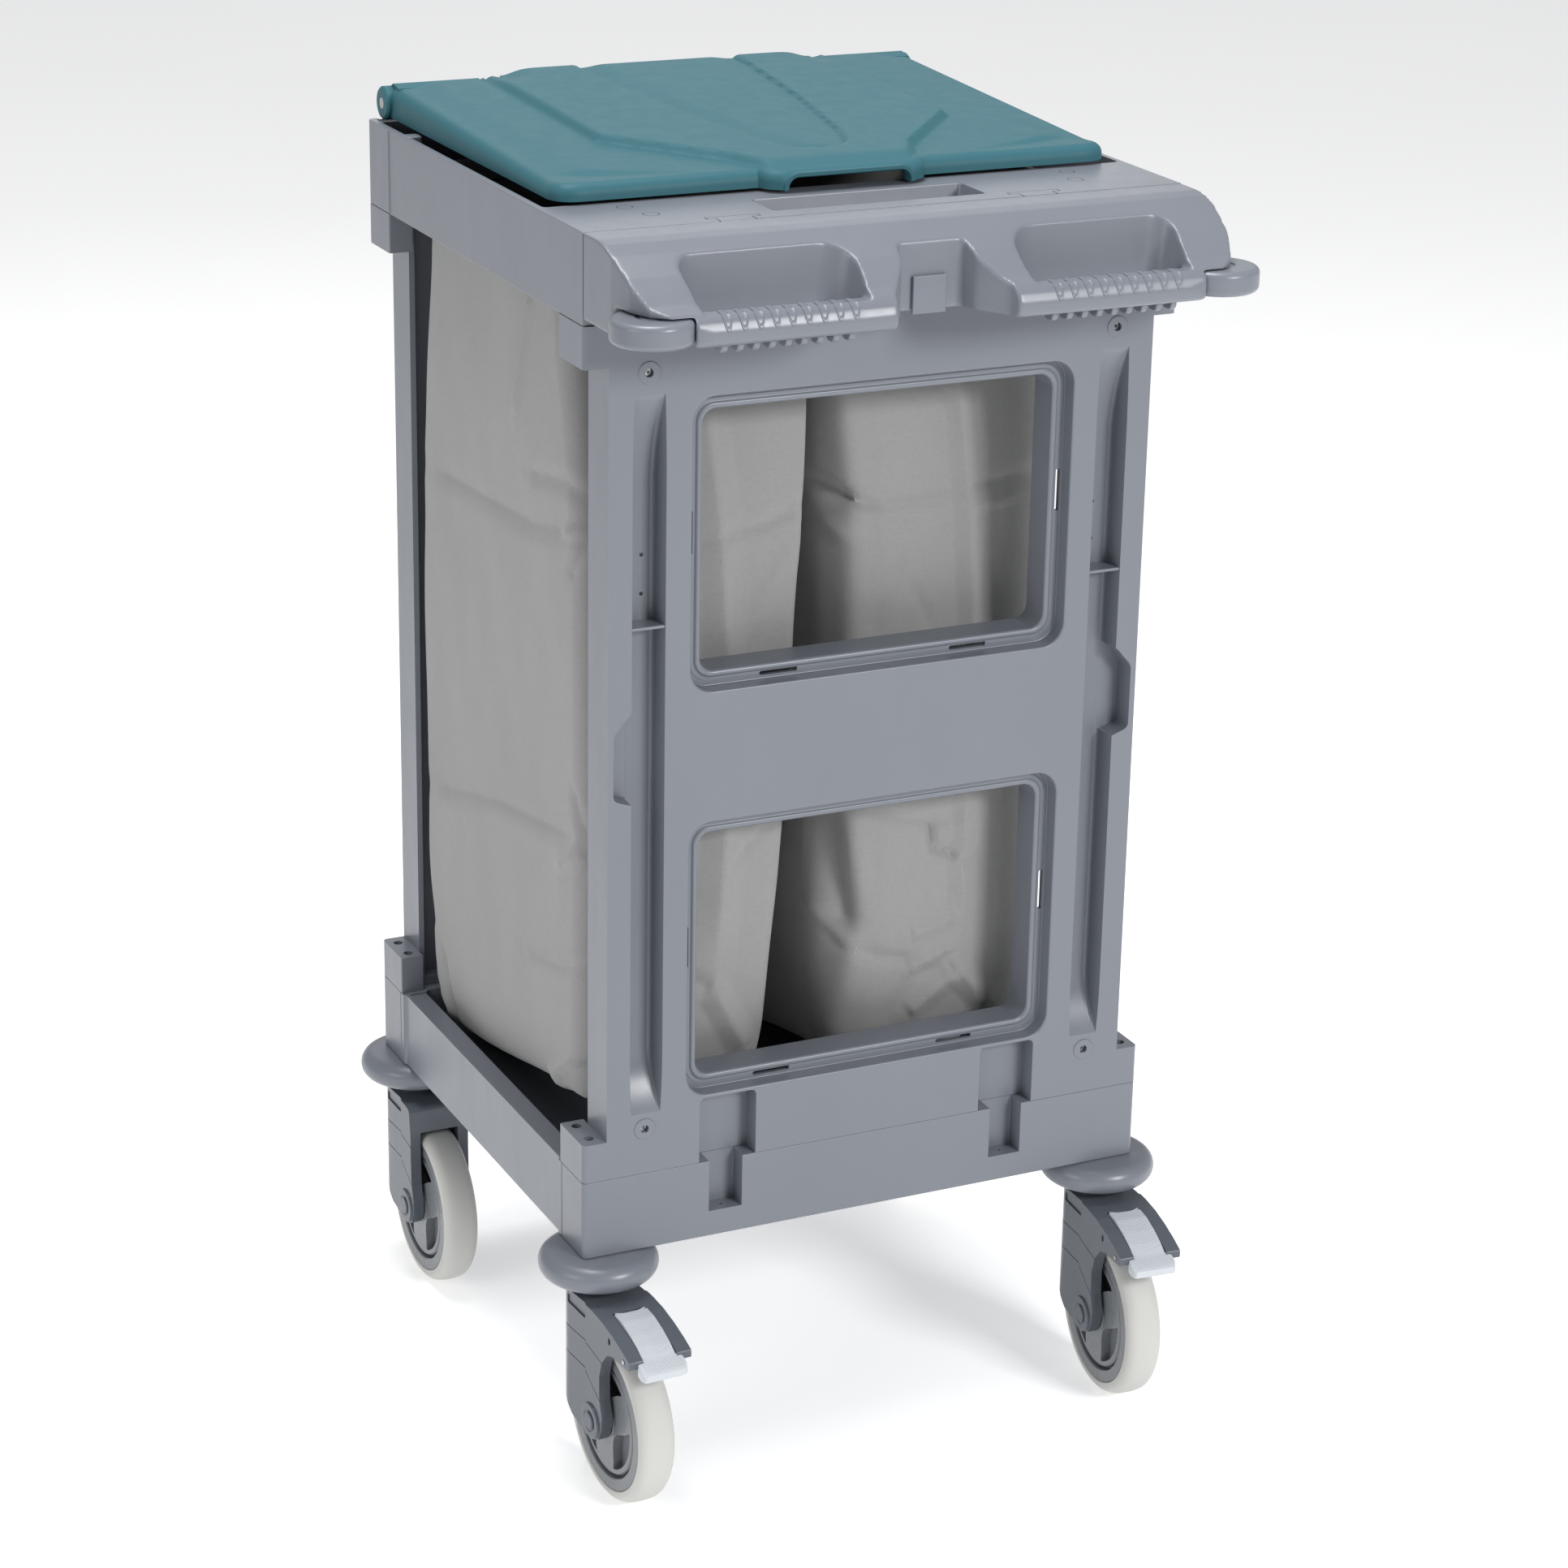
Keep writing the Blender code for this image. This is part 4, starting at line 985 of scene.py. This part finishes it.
def fork_outline(braked):
    """(Y, Z) outline of the fork's side: a wide leg, and a mudguard over the wheel if braked."""
    back = pts("""
        28.5 174.5  28.5 112  24.5 92  13 74  -6 61.2  -28 58  -45.5 57.8  -59 62.5  -65 74.5""")
    if braked:
        leg = pts("-66.2 86  -61.5 102  -61.2 124  -66 139  -76.5 151")
        guard = pts("""
            -87 154.6  -117.8 155.6  -117.8 163.2  -104 168.2  -86.5 173.2  -66 177.2  -45 178.8
            -29 178.5""")
        outline = back + leg + guard
        return fillet(outline, [0.0025 if -0.118 < y < -0.117 else 0.006 for y, z in outline], 4)
    leg = pts("-64.5 86  -60 102  -59 130  -59 152  -57 166")
    return fillet(back + leg + [(-0.056, 0.1765), (-0.029, 0.1785)], 0.005, 4)


def fork_plan(inset):
    """Plan of the fork: a round barrel behind, set in a little from the flat cheeks in front of it."""
    reach, barrel = -0.14, BARREL_IN - inset
    rear = [*arc((0, 0), barrel, 0, 180, 20)]
    rear += [(-barrel, -0.033), (-FORK_X + inset, -0.0345), (-FORK_X + inset, reach), (FORK_X - inset, reach)]
    return rear + [(FORK_X - inset, -0.0345), (barrel, -0.033)]


def keep_skin(tool, depth):
    """Keeps of a tool what lies outside the fork or within a depth of its skin."""
    return cut(tool, prism(fork_plan(depth), "Z", 0.0, 0.3))


def skin_line(points, width, depth):
    """A groove of that width and depth along a (Y, Z) line, right round the fork's outside."""
    strips = []
    for a, b in zip(points, points[1:]):
        a, b = Vector(a), Vector(b)
        across = (b - a).orthogonal().normalized() * width / 2
        along = (b - a).normalized() * width * 0.4
        outline = [a - along - across, b + along - across, b + along + across, a - along + across]
        strips.append(prism([tuple(p) for p in outline], "X", *ACROSS))
    return [keep_skin(strip, depth) for strip in strips]


def make_fork(braked):
    fork = prism(fork_outline(braked), "X", -FORK_X, FORK_X)
    fork = common(fork, prism(fork_plan(0), "Z", 0, 0.3))
    neck = pts("0 160  26.2 160  26.2 184.8  25 186.6  0 186.6")
    shoulder = turned(neck, 48, closed=False)
    fork = unite(fork, shoulder)
    cuts = [rod((0, -TRAIL, WHEEL_Z), 0.079, -FORK_INNER, FORK_INNER, "X", sides=72)]
    cuts.append(slab("Z", 0.0, 0.074, -FORK_INNER, FORK_INNER, -0.16, 0.04, 0.0002, 1))
    cuts.append(rod((0, -TRAIL, WHEEL_Z), PIN_BORE, *ACROSS, "X"))
    cuts.append(rod((0, 0, 0), STEM_BORE, 0.1515, 0.2))
    if braked:
        cuts.append(slab("Z", 0.138, 0.2, -0.0155, 0.0155, -0.15, -0.0575, (0.0002, 0.0002, 0.003, 0.003), 4))
        cuts.append(rod(PEDAL_PIN, PEDAL_BORE, *ACROSS, "X", sides=20))
    else:
        cuts.append(slab("Y", 0.0, 0.05, -0.0165, 0.0165, 0.096, 0.14, 0.004, 4))
    fork = eased(cut(fork, *cuts), 0.0011, 3, 38)
    lines = skin_line(pts("30 140.8  -33.5 143.8  -70 137.8"), 0.0008, 0.0007)
    lines += skin_line(pts("30 117.2  -33.5 117.8  -49.5 108  -66 99"), 0.0008, 0.0007)
    recess = prism(fillet(pts("3.5 164  -31.5 164  -31.5 172.2  3.5 172.2"), 0.0015), "X", *ACROSS)
    lines.append(keep_skin(recess, 0.0014))
    if braked:
        hole = prism([(y * 0.62 - 0.08, z + 0.1655) for y, z in arc((0, 0), 0.0034, 0, 340, 17)], "X", *ACROSS)
        lines.append(keep_skin(hole, 0.004))
    fork = cleaned(cut(fork, *lines))
    inner = FORK_INNER + 0.0006
    boss = [(0.0056, inner), (0.0158, inner), (0.0158, 0.0289), *arc((0.0144, 0.029), 0.0014, 0, 90, 4)]
    boss += pts("10 30.4  8.8 29.6  5.6 29.6")
    rings = [move(turn_to_x(turned([(r, side * x) for r, x in boss], 48)), 0, -TRAIL, WHEEL_Z) for side in (-1, 1)]
    return merge(fork, *rings)


def turn_to_x(obj):
    """Lays a piece turned about Z along X."""
    obj.data.transform(Matrix.Rotation(math.pi / 2, 4, "Y"))
    return obj


def make_hub():
    rim, face = 0.0635, 0.0155
    half = [(rim, 0.0), (rim, face - 0.0005), (rim - 0.0005, face), (0.054, face), (0.0531, face - 0.0009)]
    half += [(0.0527, 0.007)] + pts("""
        50.4 7  50.2 12.8  49 14.1  40 14.9  25 15.3  17.8 15.3  17 16.5  5.3 16.5  5.3 0""")
    profile = half + [(r, -x) for r, x in reversed(half[1:-1])]
    hub = turned(profile, 96)
    lenses = []
    for i in range(3):
        middle = radians(120 * i + 62)
        outer = arc((0, 0), 0.0452, -41, 41, 14)
        inner = [(0.0452 * cos(radians(41)) * (1 - s * s) + 0.0205 * s * s, -0.0452 * sin(radians(41)) * t)
                 for t in np.linspace(-0.9, 0.9, 11) for s in [cos(t * math.pi / 2)]]
        outline = fillet(outer + inner, 0.0012, 2)
        spun = [(x * cos(middle) - y * sin(middle), x * sin(middle) + y * cos(middle)) for x, y in outline]
        for low, high in ((0.0062, 0.02), (-0.02, -0.0062)):
            lenses.append(prism(spun, "Z", low, high))
    return turn_to_x(eased(cut(hub, *lenses), 0.0009, 2, 38))


def make_tyre():
    half = pts("""
        63.8 0  63.8 15.2  64.5 16  67.2 16  69.4 15.3  71.4 13.8  73.1 11.7  74.2 9  74.8 5.5  75 1.8
        75 0""")
    profile = half[:-1] + [(r, -x) for r, x in reversed(half[1:-1])]
    return turn_to_x(turned(profile, 120))


def make_disc():
    top, mid, radius = BASE_LOW - 0.0003, 0.1992, 0.0122
    profile = [(0.0063, top), (0.029, top), (0.0345, top - 0.0003), *arc((0.0388, mid), radius, 84, -90, 16)]
    profile += [(0.032, mid - radius + 0.0003), (0.03, mid - radius + 0.002), (0.0063, mid - radius + 0.002)]
    return turned(profile, 96)


def make_axle():
    head = 0.0316
    ends = [(0.0, -head), (0.007, -head), (0.0081, -head + 0.0008), (0.0081, -0.0301), (0.0048, -0.0301)]
    return turn_to_x(turned(ends + [(r, -x) for r, x in reversed(ends)], 32, closed=False))


def make_pedal():
    top = pts("-60 179  -76 177.8  -92 173.2  -105 168  -114 162.8  -118 160")
    under = pts("-118 153  -106 153.5  -96 160  -76 170  -60 172.5")
    pedal = prism(fillet(top + under, 0.003, 4), "X", -0.0148, 0.0148)
    foot = loft([[(x, y, z) for x, z in round_rectangle(-half, half, low, high, 0.0018, 4)] for half, y, low, high in (
        (0.013, -0.1145, 0.1535, 0.1622), (0.019, -0.116, 0.1505, 0.1618), (0.0208, -0.1185, 0.149, 0.1605),
        (0.021, -0.124, 0.1478, 0.158), (0.0196, -0.1282, 0.1478, 0.1558), (0.0178, -0.1298, 0.1486, 0.1545))])
    pedal = eased(cut(unite(pedal, foot), rod(PEDAL_PIN, PEDAL_BORE, *ACROSS, "X")), 0.0007, 2, 38)
    ridge_top = [(y, z + 0.00035) for y, z in top[:-1]]
    layer = prism(ridge_top + [(y, z - 0.004) for y, z in reversed(ridge_top)], "X", -0.0136, 0.0136)
    chevrons, bars = [], []
    for i in range(15):
        y = -0.064 - i * 0.0034
        chevron = pts("0 -2.2  13.6 3  13.6 3.7  0 -1.5  -13.6 3.7  -13.6 3")
        chevrons.append(prism([(x, y + rise) for x, rise in chevron], "Z", 0.14, 0.19))
    slope = prism(pts("-118 161.15  -129 155.95  -129 152  -118 157"), "X", -0.018, 0.018)
    for i in range(11):
        x = -0.0185 + i * 0.0036
        bar = [(x, -0.118), (x + 0.0007, -0.118), (x + 0.0062, -0.1275), (x + 0.0055, -0.1275)]
        bars.append(prism(bar, "Z", 0.14, 0.19))
    ridges = [common(merge(*chevrons), layer), common(merge(*bars), slope)]
    return merge(pedal, *ridges)


def place_at(obj, name, node, corners, body, slot="caster_plastic", smooth=32, look=None):
    """Puts a copy of a piece built at a caster's swivel at each of the corners, and drops the first one."""
    for corner in corners:
        side, end, heading = CASTERS[corner]
        made = linked(bpy.data.objects.new(name, obj.data.copy()))
        swivel = Matrix.Translation((side * SWIVEL_X, end * SWIVEL_Y, 0))
        made.data.transform(swivel @ Matrix.Rotation(heading, 4, "Z"))
        place(made, f"{name}_{corner}", f"{node}_{corner}", f"{body}_{corner}", slot, smooth, look)
    bpy.data.objects.remove(obj, do_unlink=True)


BRAKED, PLAIN = ("front_left", "front_right"), ("rear_left", "rear_right")
place_at(make_fork(True), "fork", "caster_fork", BRAKED, "swivel")
place_at(make_fork(False), "fork", "caster_fork", PLAIN, "swivel")
place_at(make_pedal(), "brake", "brake_pedal", BRAKED, "pedal", "pedal_plastic")
place_at(move(make_axle(), 0, -TRAIL, WHEEL_Z), "axle", "wheel_axle", BRAKED + PLAIN, "swivel")
place_at(move(make_hub(), 0, -TRAIL, WHEEL_Z), "hub", "wheel_hub", BRAKED + PLAIN, "wheel", look=HUB)
place_at(move(make_tyre(), 0, -TRAIL, WHEEL_Z), "tread", "tyre", BRAKED + PLAIN, "wheel", "tread_rubber")
place_at(make_disc(), "disc", "bumper_disc", BRAKED + PLAIN, "disc", "panel_plastic", 40)


# ---------------------------------------------------------------- bags

BAG_TOP, BAG_SPLIT, BAG_OUT, MOUTH = 1.052, -0.01, 0.237, (-0.1345, 0.1645)
# Rows down a bag, in mm: z, outer |X|, inner X at the front, inner X at the back, front Y, back Y,
# then the radii of the front outer, front inner and back corners.
BAG_ROWS = {
    -1: pts("""
    1052 237 -17.5 -17 -134.5 164.5 20 20 20
    990 237 -19 -17 -136.5 166 20 16 20
    900 236.8 -24 -12.5 -152 179 18 10 18
    800 237 -35 -12 -168 191 18 9 18
    700 237.1 -46.5 -12 -176 195 19 9 18
    640 237.2 -50 -12 -179 197 20 9 18
    550 237.2 -53.5 -12 -181 197.5 20 10 18
    400 237 -62 -15 -179 196 22 12 22
    310 235 -64.5 -20 -174 187 24 18 30
    262 234.5 -65 -20 -169 180 28 22 34""", 9),
    1: pts("""
    1052 237 -3 -3 -134.5 164.5 30 20 20
    990 237 -3 -3 -136 165 46 22 22
    900 230 -4 -6 -144 174 85 46 30
    740 229 -4.5 -6 -162 187 104 56 36
    550 229 -4.5 -6 -174 194.5 112 58 38
    360 228 -4 -5 -173 193 108 56 36
    262 227 -2 -3 -165 185 80 46 34""", 9),
}
# Creases: face, half width and depth outwards in mm, sharpness, then the line's points as (X or Y, z)
BAG_CREASES = {
    -1: """
    front 22 6.2 1.0  -121 1030  -121.4 920  -115 810  -111 700  -113 560  -118.6 411
    front 16 4.8 1.0  -118.6 411  -84.3 345
    front 11 -2 1.2  -170 800  -113.8 806  -71.2 811  -38 822
    front 14 -3 1.1  -150 425  -118.6 411
    front 16 1.4 1.3  -106 700  -70 755  -45 790
    front 10 -1.3 1.3  -108 520  -76 548  -60 552
    side 10 2.1 1.2  -73.5 1000  -55 940  -33.7 880
    side 17 -2.4 1.2  171.6 786.5  66.9 792.6  -71.4 799.8  -172.5 822.2
    side 13 -2 1.2  -63 843.4  -144.3 855.9  -173 844
    side 8 2.6 1.0  -135 812  -172.5 822.2  -180 842
    side 10 -2.2 1.0  -150 775  -172.5 815
    side 18 -2.4 1.2  178.8 486.9  8.9 529.9  -116.6 548.8  -176.2 560.3
    side 12 2.4 1.1  -130 520  -176.2 550
    side 10 -2.2 1.1  -176.2 560.3  -160 600
    side 14 -1.7 1.2  -47 410.5  -130 430  -194.1 452.5
    side 13 3 1.1  185 360  164.4 293.6  123.1 261.1
    side 8 -2.6 1.1  156 340  135 270
    side 7 3.4 1.0  -19.4 283.8  -110 325  -194.2 378.3""",
    1: """
    front 15 4.2 1.0  11 1030  12.5 916  19.1 815.3  18.3 702.6  17.6 558  21.5 419.2  10.5 340
    front 14 4 1.0 110 1030 113 915.6 120.8 801.9 123.8 702 119 558.8 122.2 509.6 114.7 492.7 120.7 442.4 115.9 388.1
    front 16 4.4 1.0  115.9 388.1  70.6 350
    front 16 4.4 1.0  115.9 388.1  154 348
    front 12 -7 0.9  -8 826  19.1 815.3
    front 12 3 1.0  0 796  15 785
    front 8 -3.4 1.0  19.1 815.3  35 809
    front 8 -1.7 1.3  34 817  120.8 818  175 820
    front 8 1.5 1.3  34 802  120.8 800  175 804
    front 17 -8.5 0.9  -6 555  5 490  17.5 430
    front 8 3.4 1.0  -6 453  21.5 419.2
    front 10 -2.6 1.1  21.5 419.2  42 409.4  74.5 402.7
    front 10 -2 1.2  30 545  86.4 530.3  110 528
    front 7 -3.6 1.0  86.4 530.3  90 505  114.7 492.7
    front 12 2.4 1.1  68.3 427.3  100 435  116.6 443.1
    front 7 3 1.0  70 390  77.4 397  112.3 412.4
    front 9 -2.2 1.1  77.4 388  115.9 388.1
    front 14 -1.2 1.3  30 700  50 745  60 770
    front 12 -1.2 1.3  85 700  70 740
    side 17 -2.4 1.2  180 800  0 810  -160 818
    side 18 -2.4 1.2  180 490  0 530  -160 550
    side 10 2.1 1.2  -50 1000  -30 880""",
}


def creases(side):
    """The creases of one bag: face, line, half width, depth and sharpness."""
    for row in BAG_CREASES[side].strip().splitlines():
        face, width, depth, sharp, line = row.split(maxsplit=4)
        yield face, pts(line), float(width) / 1000, float(depth) / 1000, float(sharp)


def bag_ring(side, row):
    """(X, Y) points round a bag at one height, always the same number from the same corner."""
    z, outer, near_front, near_back, front, back, r_outer, r_inner, r_back = row
    far = side * outer
    corners = [((far, front), r_outer), ((near_front, front), r_inner)]
    corners += [((near_back, back), r_back), ((far, back), r_back)]
    if side > 0:
        corners = [corners[1], corners[0], corners[3], corners[2]]
    arcs = []
    for i, ((x, y), radius) in enumerate(corners):
        before, after = np.array(corners[i - 1][0]), np.array(corners[(i + 1) % 4][0])
        here = np.array((x, y))
        into, out = (here - before) / np.linalg.norm(here - before), (after - here) / np.linalg.norm(after - here)
        start = here - into * radius
        t = np.linspace(0, math.pi / 2, 15)[:, None]
        arcs.append(start + into * radius * np.sin(t) + out * radius * (1 - np.cos(t)))
    ring = []
    for i, counts in enumerate((56, 84, 56, 84)):
        ring.append(arcs[i])
        t = np.linspace(0, 1, counts + 2)[1:-1, None]
        ring.append(arcs[i][-1] * (1 - t) + arcs[(i + 1) % 4][0] * t)
    return np.concatenate(ring)


def to_line(a, z, points):
    """Distance of each point from a run of straight lines, and how far along the run it is nearest."""
    best, along = np.full(a.shape, 9.0), np.zeros(a.shape)
    total = sum(math.dist(p, q) for p, q in zip(points, points[1:]))
    gone = 0.0
    for p, q in zip(points, points[1:]):
        (a0, z0), (a1, z1) = p, q
        length = math.dist(p, q)
        t = np.clip(((a - a0) * (a1 - a0) + (z - z0) * (z1 - z0)) / length**2, 0, 1)
        distance = np.hypot(a - a0 - t * (a1 - a0), z - z0 - t * (z1 - z0))
        closer = distance < best
        best = np.where(closer, distance, best)
        along = np.where(closer, (gone + t * length) / total, along)
        gone += length
    return best, along


def bag_low(y):
    """Height of a bag's lower edge: it hangs higher towards the front."""
    return np.interp(y, (-0.18, -0.076, 0.004, 0.12, 0.2), (0.316, 0.301, 0.285, 0.263, 0.26))


def make_bag(side):
    table = np.array(BAG_ROWS[side][::-1])
    heights = np.linspace(0.262, BAG_TOP, 400)
    dense = np.stack([np.interp(heights, table[:, 0], table[:, i]) for i in range(table.shape[1])], axis=1)
    for i in range(1, table.shape[1]):
        padded = np.concatenate([np.full(24, dense[0, i]), dense[:, i], np.full(24, dense[-1, i])])
        dense[:, i] = np.convolve(padded, np.ones(49) / 49, "valid")
    rows = []
    for v in np.linspace(0, 1, 200):
        row = [np.interp(BAG_TOP + (0.272 - BAG_TOP) * v, heights, dense[:, i]) for i in range(dense.shape[1])]
        ring = bag_ring(side, row)
        z = BAG_TOP + (bag_low(ring[:, 1]) + 0.018 - BAG_TOP) * v
        rows.append(np.column_stack([ring, z]))
    points = np.array(rows)
    along = np.roll(points, -1, axis=1) - np.roll(points, 1, axis=1)
    normal = np.stack([along[..., 1], -along[..., 0], np.zeros(along.shape[:2])], axis=-1)
    normal /= np.linalg.norm(normal, axis=-1, keepdims=True)
    if (normal * (points - points.mean(axis=(0, 1)))).sum() < 0:
        normal = -normal
    x, y, z = points[..., 0], points[..., 1], points[..., 2]
    out = np.zeros(x.shape)
    fade_top = np.clip((BAG_TOP - 0.012 - z) / 0.05, 0, 1)
    for face, line, width, depth, sharp in creases(side):
        facing = np.clip(-normal[..., 1] if face == "front" else side * normal[..., 0], 0, 1) ** 0.5
        distance, run = to_line(x if face == "front" else y, z, line)
        ends = np.clip(np.minimum(run, 1 - run) / 0.12, 0.35, 1)
        out += 1.7 * facing * ends * depth * np.clip(1 - distance / width, 0, 1) ** (1.15 * sharp)
    soft = []
    for px, py, pz in points.reshape(-1, 3):
        coarse, fine = Vector((px * 9, py * 9, pz * 6 + side)), Vector((px * 22, py * 22, pz * 13 - side))
        soft.append(noise.noise(coarse) + 0.5 * noise.noise(fine))
    out += 0.0022 * np.array(soft).reshape(x.shape) * fade_top
    under = np.clip((bag_low(y) + 0.06 - z) / 0.05, 0, 1)
    out -= 0.006 * under**2
    points = points + normal * (out * fade_top)[..., None]
    lip = []
    for turn in range(6):
        a = radians(36 * turn)
        ring = points[0] + normal[0] * 0.0032 * (1 - cos(a))
        ring[:, 2] = BAG_TOP + 0.0032 * sin(a) - (0.004 if turn == 5 else 0)
        lip.append(ring)
    bottom, last = [], points[-1]
    centre = last.mean(axis=0)
    for turn in (20, 40, 60, 80, 90):
        a = radians(turn)
        ring = last - normal[-1] * 0.02 * (1 - cos(a))
        ring[:, 2] = last[:, 2] - 0.018 * sin(a)
        bottom.append(ring)
    edge = bottom[-1]
    for t in (0.1, 0.22, 0.36, 0.52, 0.7, 0.86, 0.96):
        ring = edge * (1 - t) + np.array([centre[0], centre[1], 0.2705]) * t
        bottom.append(ring)
    rings = lip[::-1] + list(points[1:]) + bottom
    form, made = skin_over(rings)
    form.faces.new(made[-1])
    bag = new_piece(form)
    wall = bag.modifiers.new("wall", "SOLIDIFY")
    wall.thickness, wall.offset = 0.0012, -1
    return evaluated(bag), points, normal


def stitched(points, radius=0.0007, stitch=0.0042):
    """A line of stitches along a run of surface points."""
    points = np.array(points)
    gone = np.concatenate([[0], np.cumsum(np.linalg.norm(np.diff(points, axis=0), axis=1))])
    steps = np.arange(0, gone[-1], stitch / 6)
    line = np.stack([np.interp(steps, gone, points[:, i]) for i in range(3)], axis=1)
    rings = []
    for i, p in enumerate(line):
        r = radius * (0.45 + 0.55 * abs(sin(math.pi * i / 6)))
        rings.append([(p[0] + r * cos(a), p[1] + r * sin(a), p[2]) for a in (tau * k / 6 for k in range(6))])
    return loft(rings)


def make_bag_frame(side):
    """The ring that a bag's mouth is folded over; it rests on the tray's ledge and has small hand tabs."""
    near, far = BAG_SPLIT + side * 0.0004, side * (HALF_X - 0.0062)
    x0, x1 = sorted((near, far))
    y0, y1 = MOUTH[0] - 0.0095, MOUTH[1] + 0.0095
    frame = block("Z", (x0, x1, y0, y1), 0.006, 1.0356, 1.0435, 0.0016)
    x0, x1 = sorted((BAG_SPLIT + side * 0.0065, side * (BAG_OUT + 0.0005)))
    frame = cut(frame, slab("Z", 1.0, 1.1, x0, x1, MOUTH[0] - 0.0005, MOUTH[1] + 0.0005, 0.019))
    tab = span(side, 0.2465, 0.2555)
    tabs = [block("Z", (*tab, y, y + 0.03), 0.002, 1.043, 1.0475, 0.0012) for y in (-0.06, 0.06)]
    return unite(frame, *tabs)


for side, side_name in SIDES:
    bag, skin, facing = make_bag(side)
    place(bag, f"laundry_bag_{side_name}", f"bag_{side_name}", "cart", "bag_cloth", 60)
    ring = make_bag_frame(side)
    place(ring, f"bag_ring_{side_name}", f"bag_frame_{side_name}", "cart", "caster_plastic", 40)
    if side > 0:
        sewn = []
        seam = next(creases(side))[1]
        for row, normals in zip(skin, facing):
            front = np.argsort(np.where(normals[:, 1] < -0.35, row[:, 0], 9.0))[: int((normals[:, 1] < -0.35).sum())]
            z = float(row[front, 2].mean())
            if 0.34 < z < 1.0:
                x = float(np.interp(-z, [-p[1] for p in seam], [p[0] for p in seam]))
                y = float(np.interp(x, row[front, 0], row[front, 1]))
                z = float(np.interp(x, row[front, 0], row[front, 2]))
                sewn.append((x, y - 0.0005, z))
        thread = place(stitched(sewn), "bag_seam_right", slot="bag_cloth", smooth=60, look=THREAD)


# ---------------------------------------------------------------- carried-over CAD nodes

for node in frame["nodes"].values():
    for slot in node.material_slots:
        slot.material = LOOKS.get(slot.material.name.split(".")[0], GREY)


# ---------------------------------------------------------------- stage, light and camera


def make_floor():
    form = bmesh.new()
    bmesh.ops.create_grid(form, x_segments=8, y_segments=8, size=40)
    floor = new_piece(form)
    floor.name = "floor"
    look, tree, shader, where = new_look("pale_floor", 0.9, Emission_Strength=0.44)
    paint = painted(tree, noise_at(tree, where, 0.5, 3.0), (0.9, 0.9, 0.9), (0.92, 0.92, 0.92))
    tree.links.new(paint, shader.inputs["Base Color"])
    tree.links.new(paint, shader.inputs["Emission Color"])
    floor.data.materials.append(look)
    floor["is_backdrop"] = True


def area_light(name, at, target, size, power):
    lamp = bpy.data.lights.new(name, "AREA")
    lamp.shape, lamp.size, lamp.size_y, lamp.energy = "RECTANGLE", size, size * 0.7, power
    obj = bpy.data.objects.new(name, lamp)
    obj.location = at
    obj.rotation_euler = (Vector(target) - Vector(at)).to_track_quat("-Z", "Y").to_euler()
    bpy.context.scene.collection.objects.link(obj)


def light_studio():
    world = bpy.data.worlds.new("studio")
    world.use_nodes = True
    world.node_tree.nodes["Background"].inputs["Color"].default_value = (0.97, 0.98, 1.0, 1)
    world.node_tree.nodes["Background"].inputs["Strength"].default_value = 0.4
    bpy.context.scene.world = world
    area_light("key", (1.35, -3.95, 2.5), (0, 0, 0.65), 1.1, 124)
    area_light("side", (-3.6, -1.2, 1.9), (0, 0, 0.6), 1.6, 26)
    area_light("top", (-0.3, 0.2, 3.9), (0, 0, 0.9), 1.8, 94)
    area_light("back", (1.2, 3.6, 2.6), (0, 0, 0.95), 2.6, 12)


def make_camera():
    """The camera stands where the photograph was taken from, rolled a little."""
    azimuth, elevation, roll = (radians(a) for a in (-25.6125, 20.2575, 1.0908))
    back = Vector((
        sin(azimuth) * cos(elevation), -cos(azimuth) * cos(elevation), sin(elevation),
    ))
    right = Vector((cos(azimuth), sin(azimuth), 0))
    up = back.cross(right)
    tilt = Matrix.Rotation(roll, 3, back)
    turn = Matrix((tilt @ right, tilt @ up, back)).transposed().to_4x4()
    lens = bpy.data.cameras.new("camera")
    lens.lens, lens.sensor_width = 91.493, 36.0
    camera = bpy.data.objects.new("camera", lens)
    camera.matrix_world = Matrix.Translation((-1.40603, MIDDLE_Y - 2.99656, 1.7379)) @ turn
    bpy.context.scene.collection.objects.link(camera)
    bpy.context.scene.camera = camera


make_floor()
light_studio()
make_camera()
bpy.context.scene.view_settings.view_transform = "Standard"

boxes = {"cad": CAD_BOX, "visual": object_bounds()}
{name: [list(corner) for corner in box] for name, box in boxes.items()}
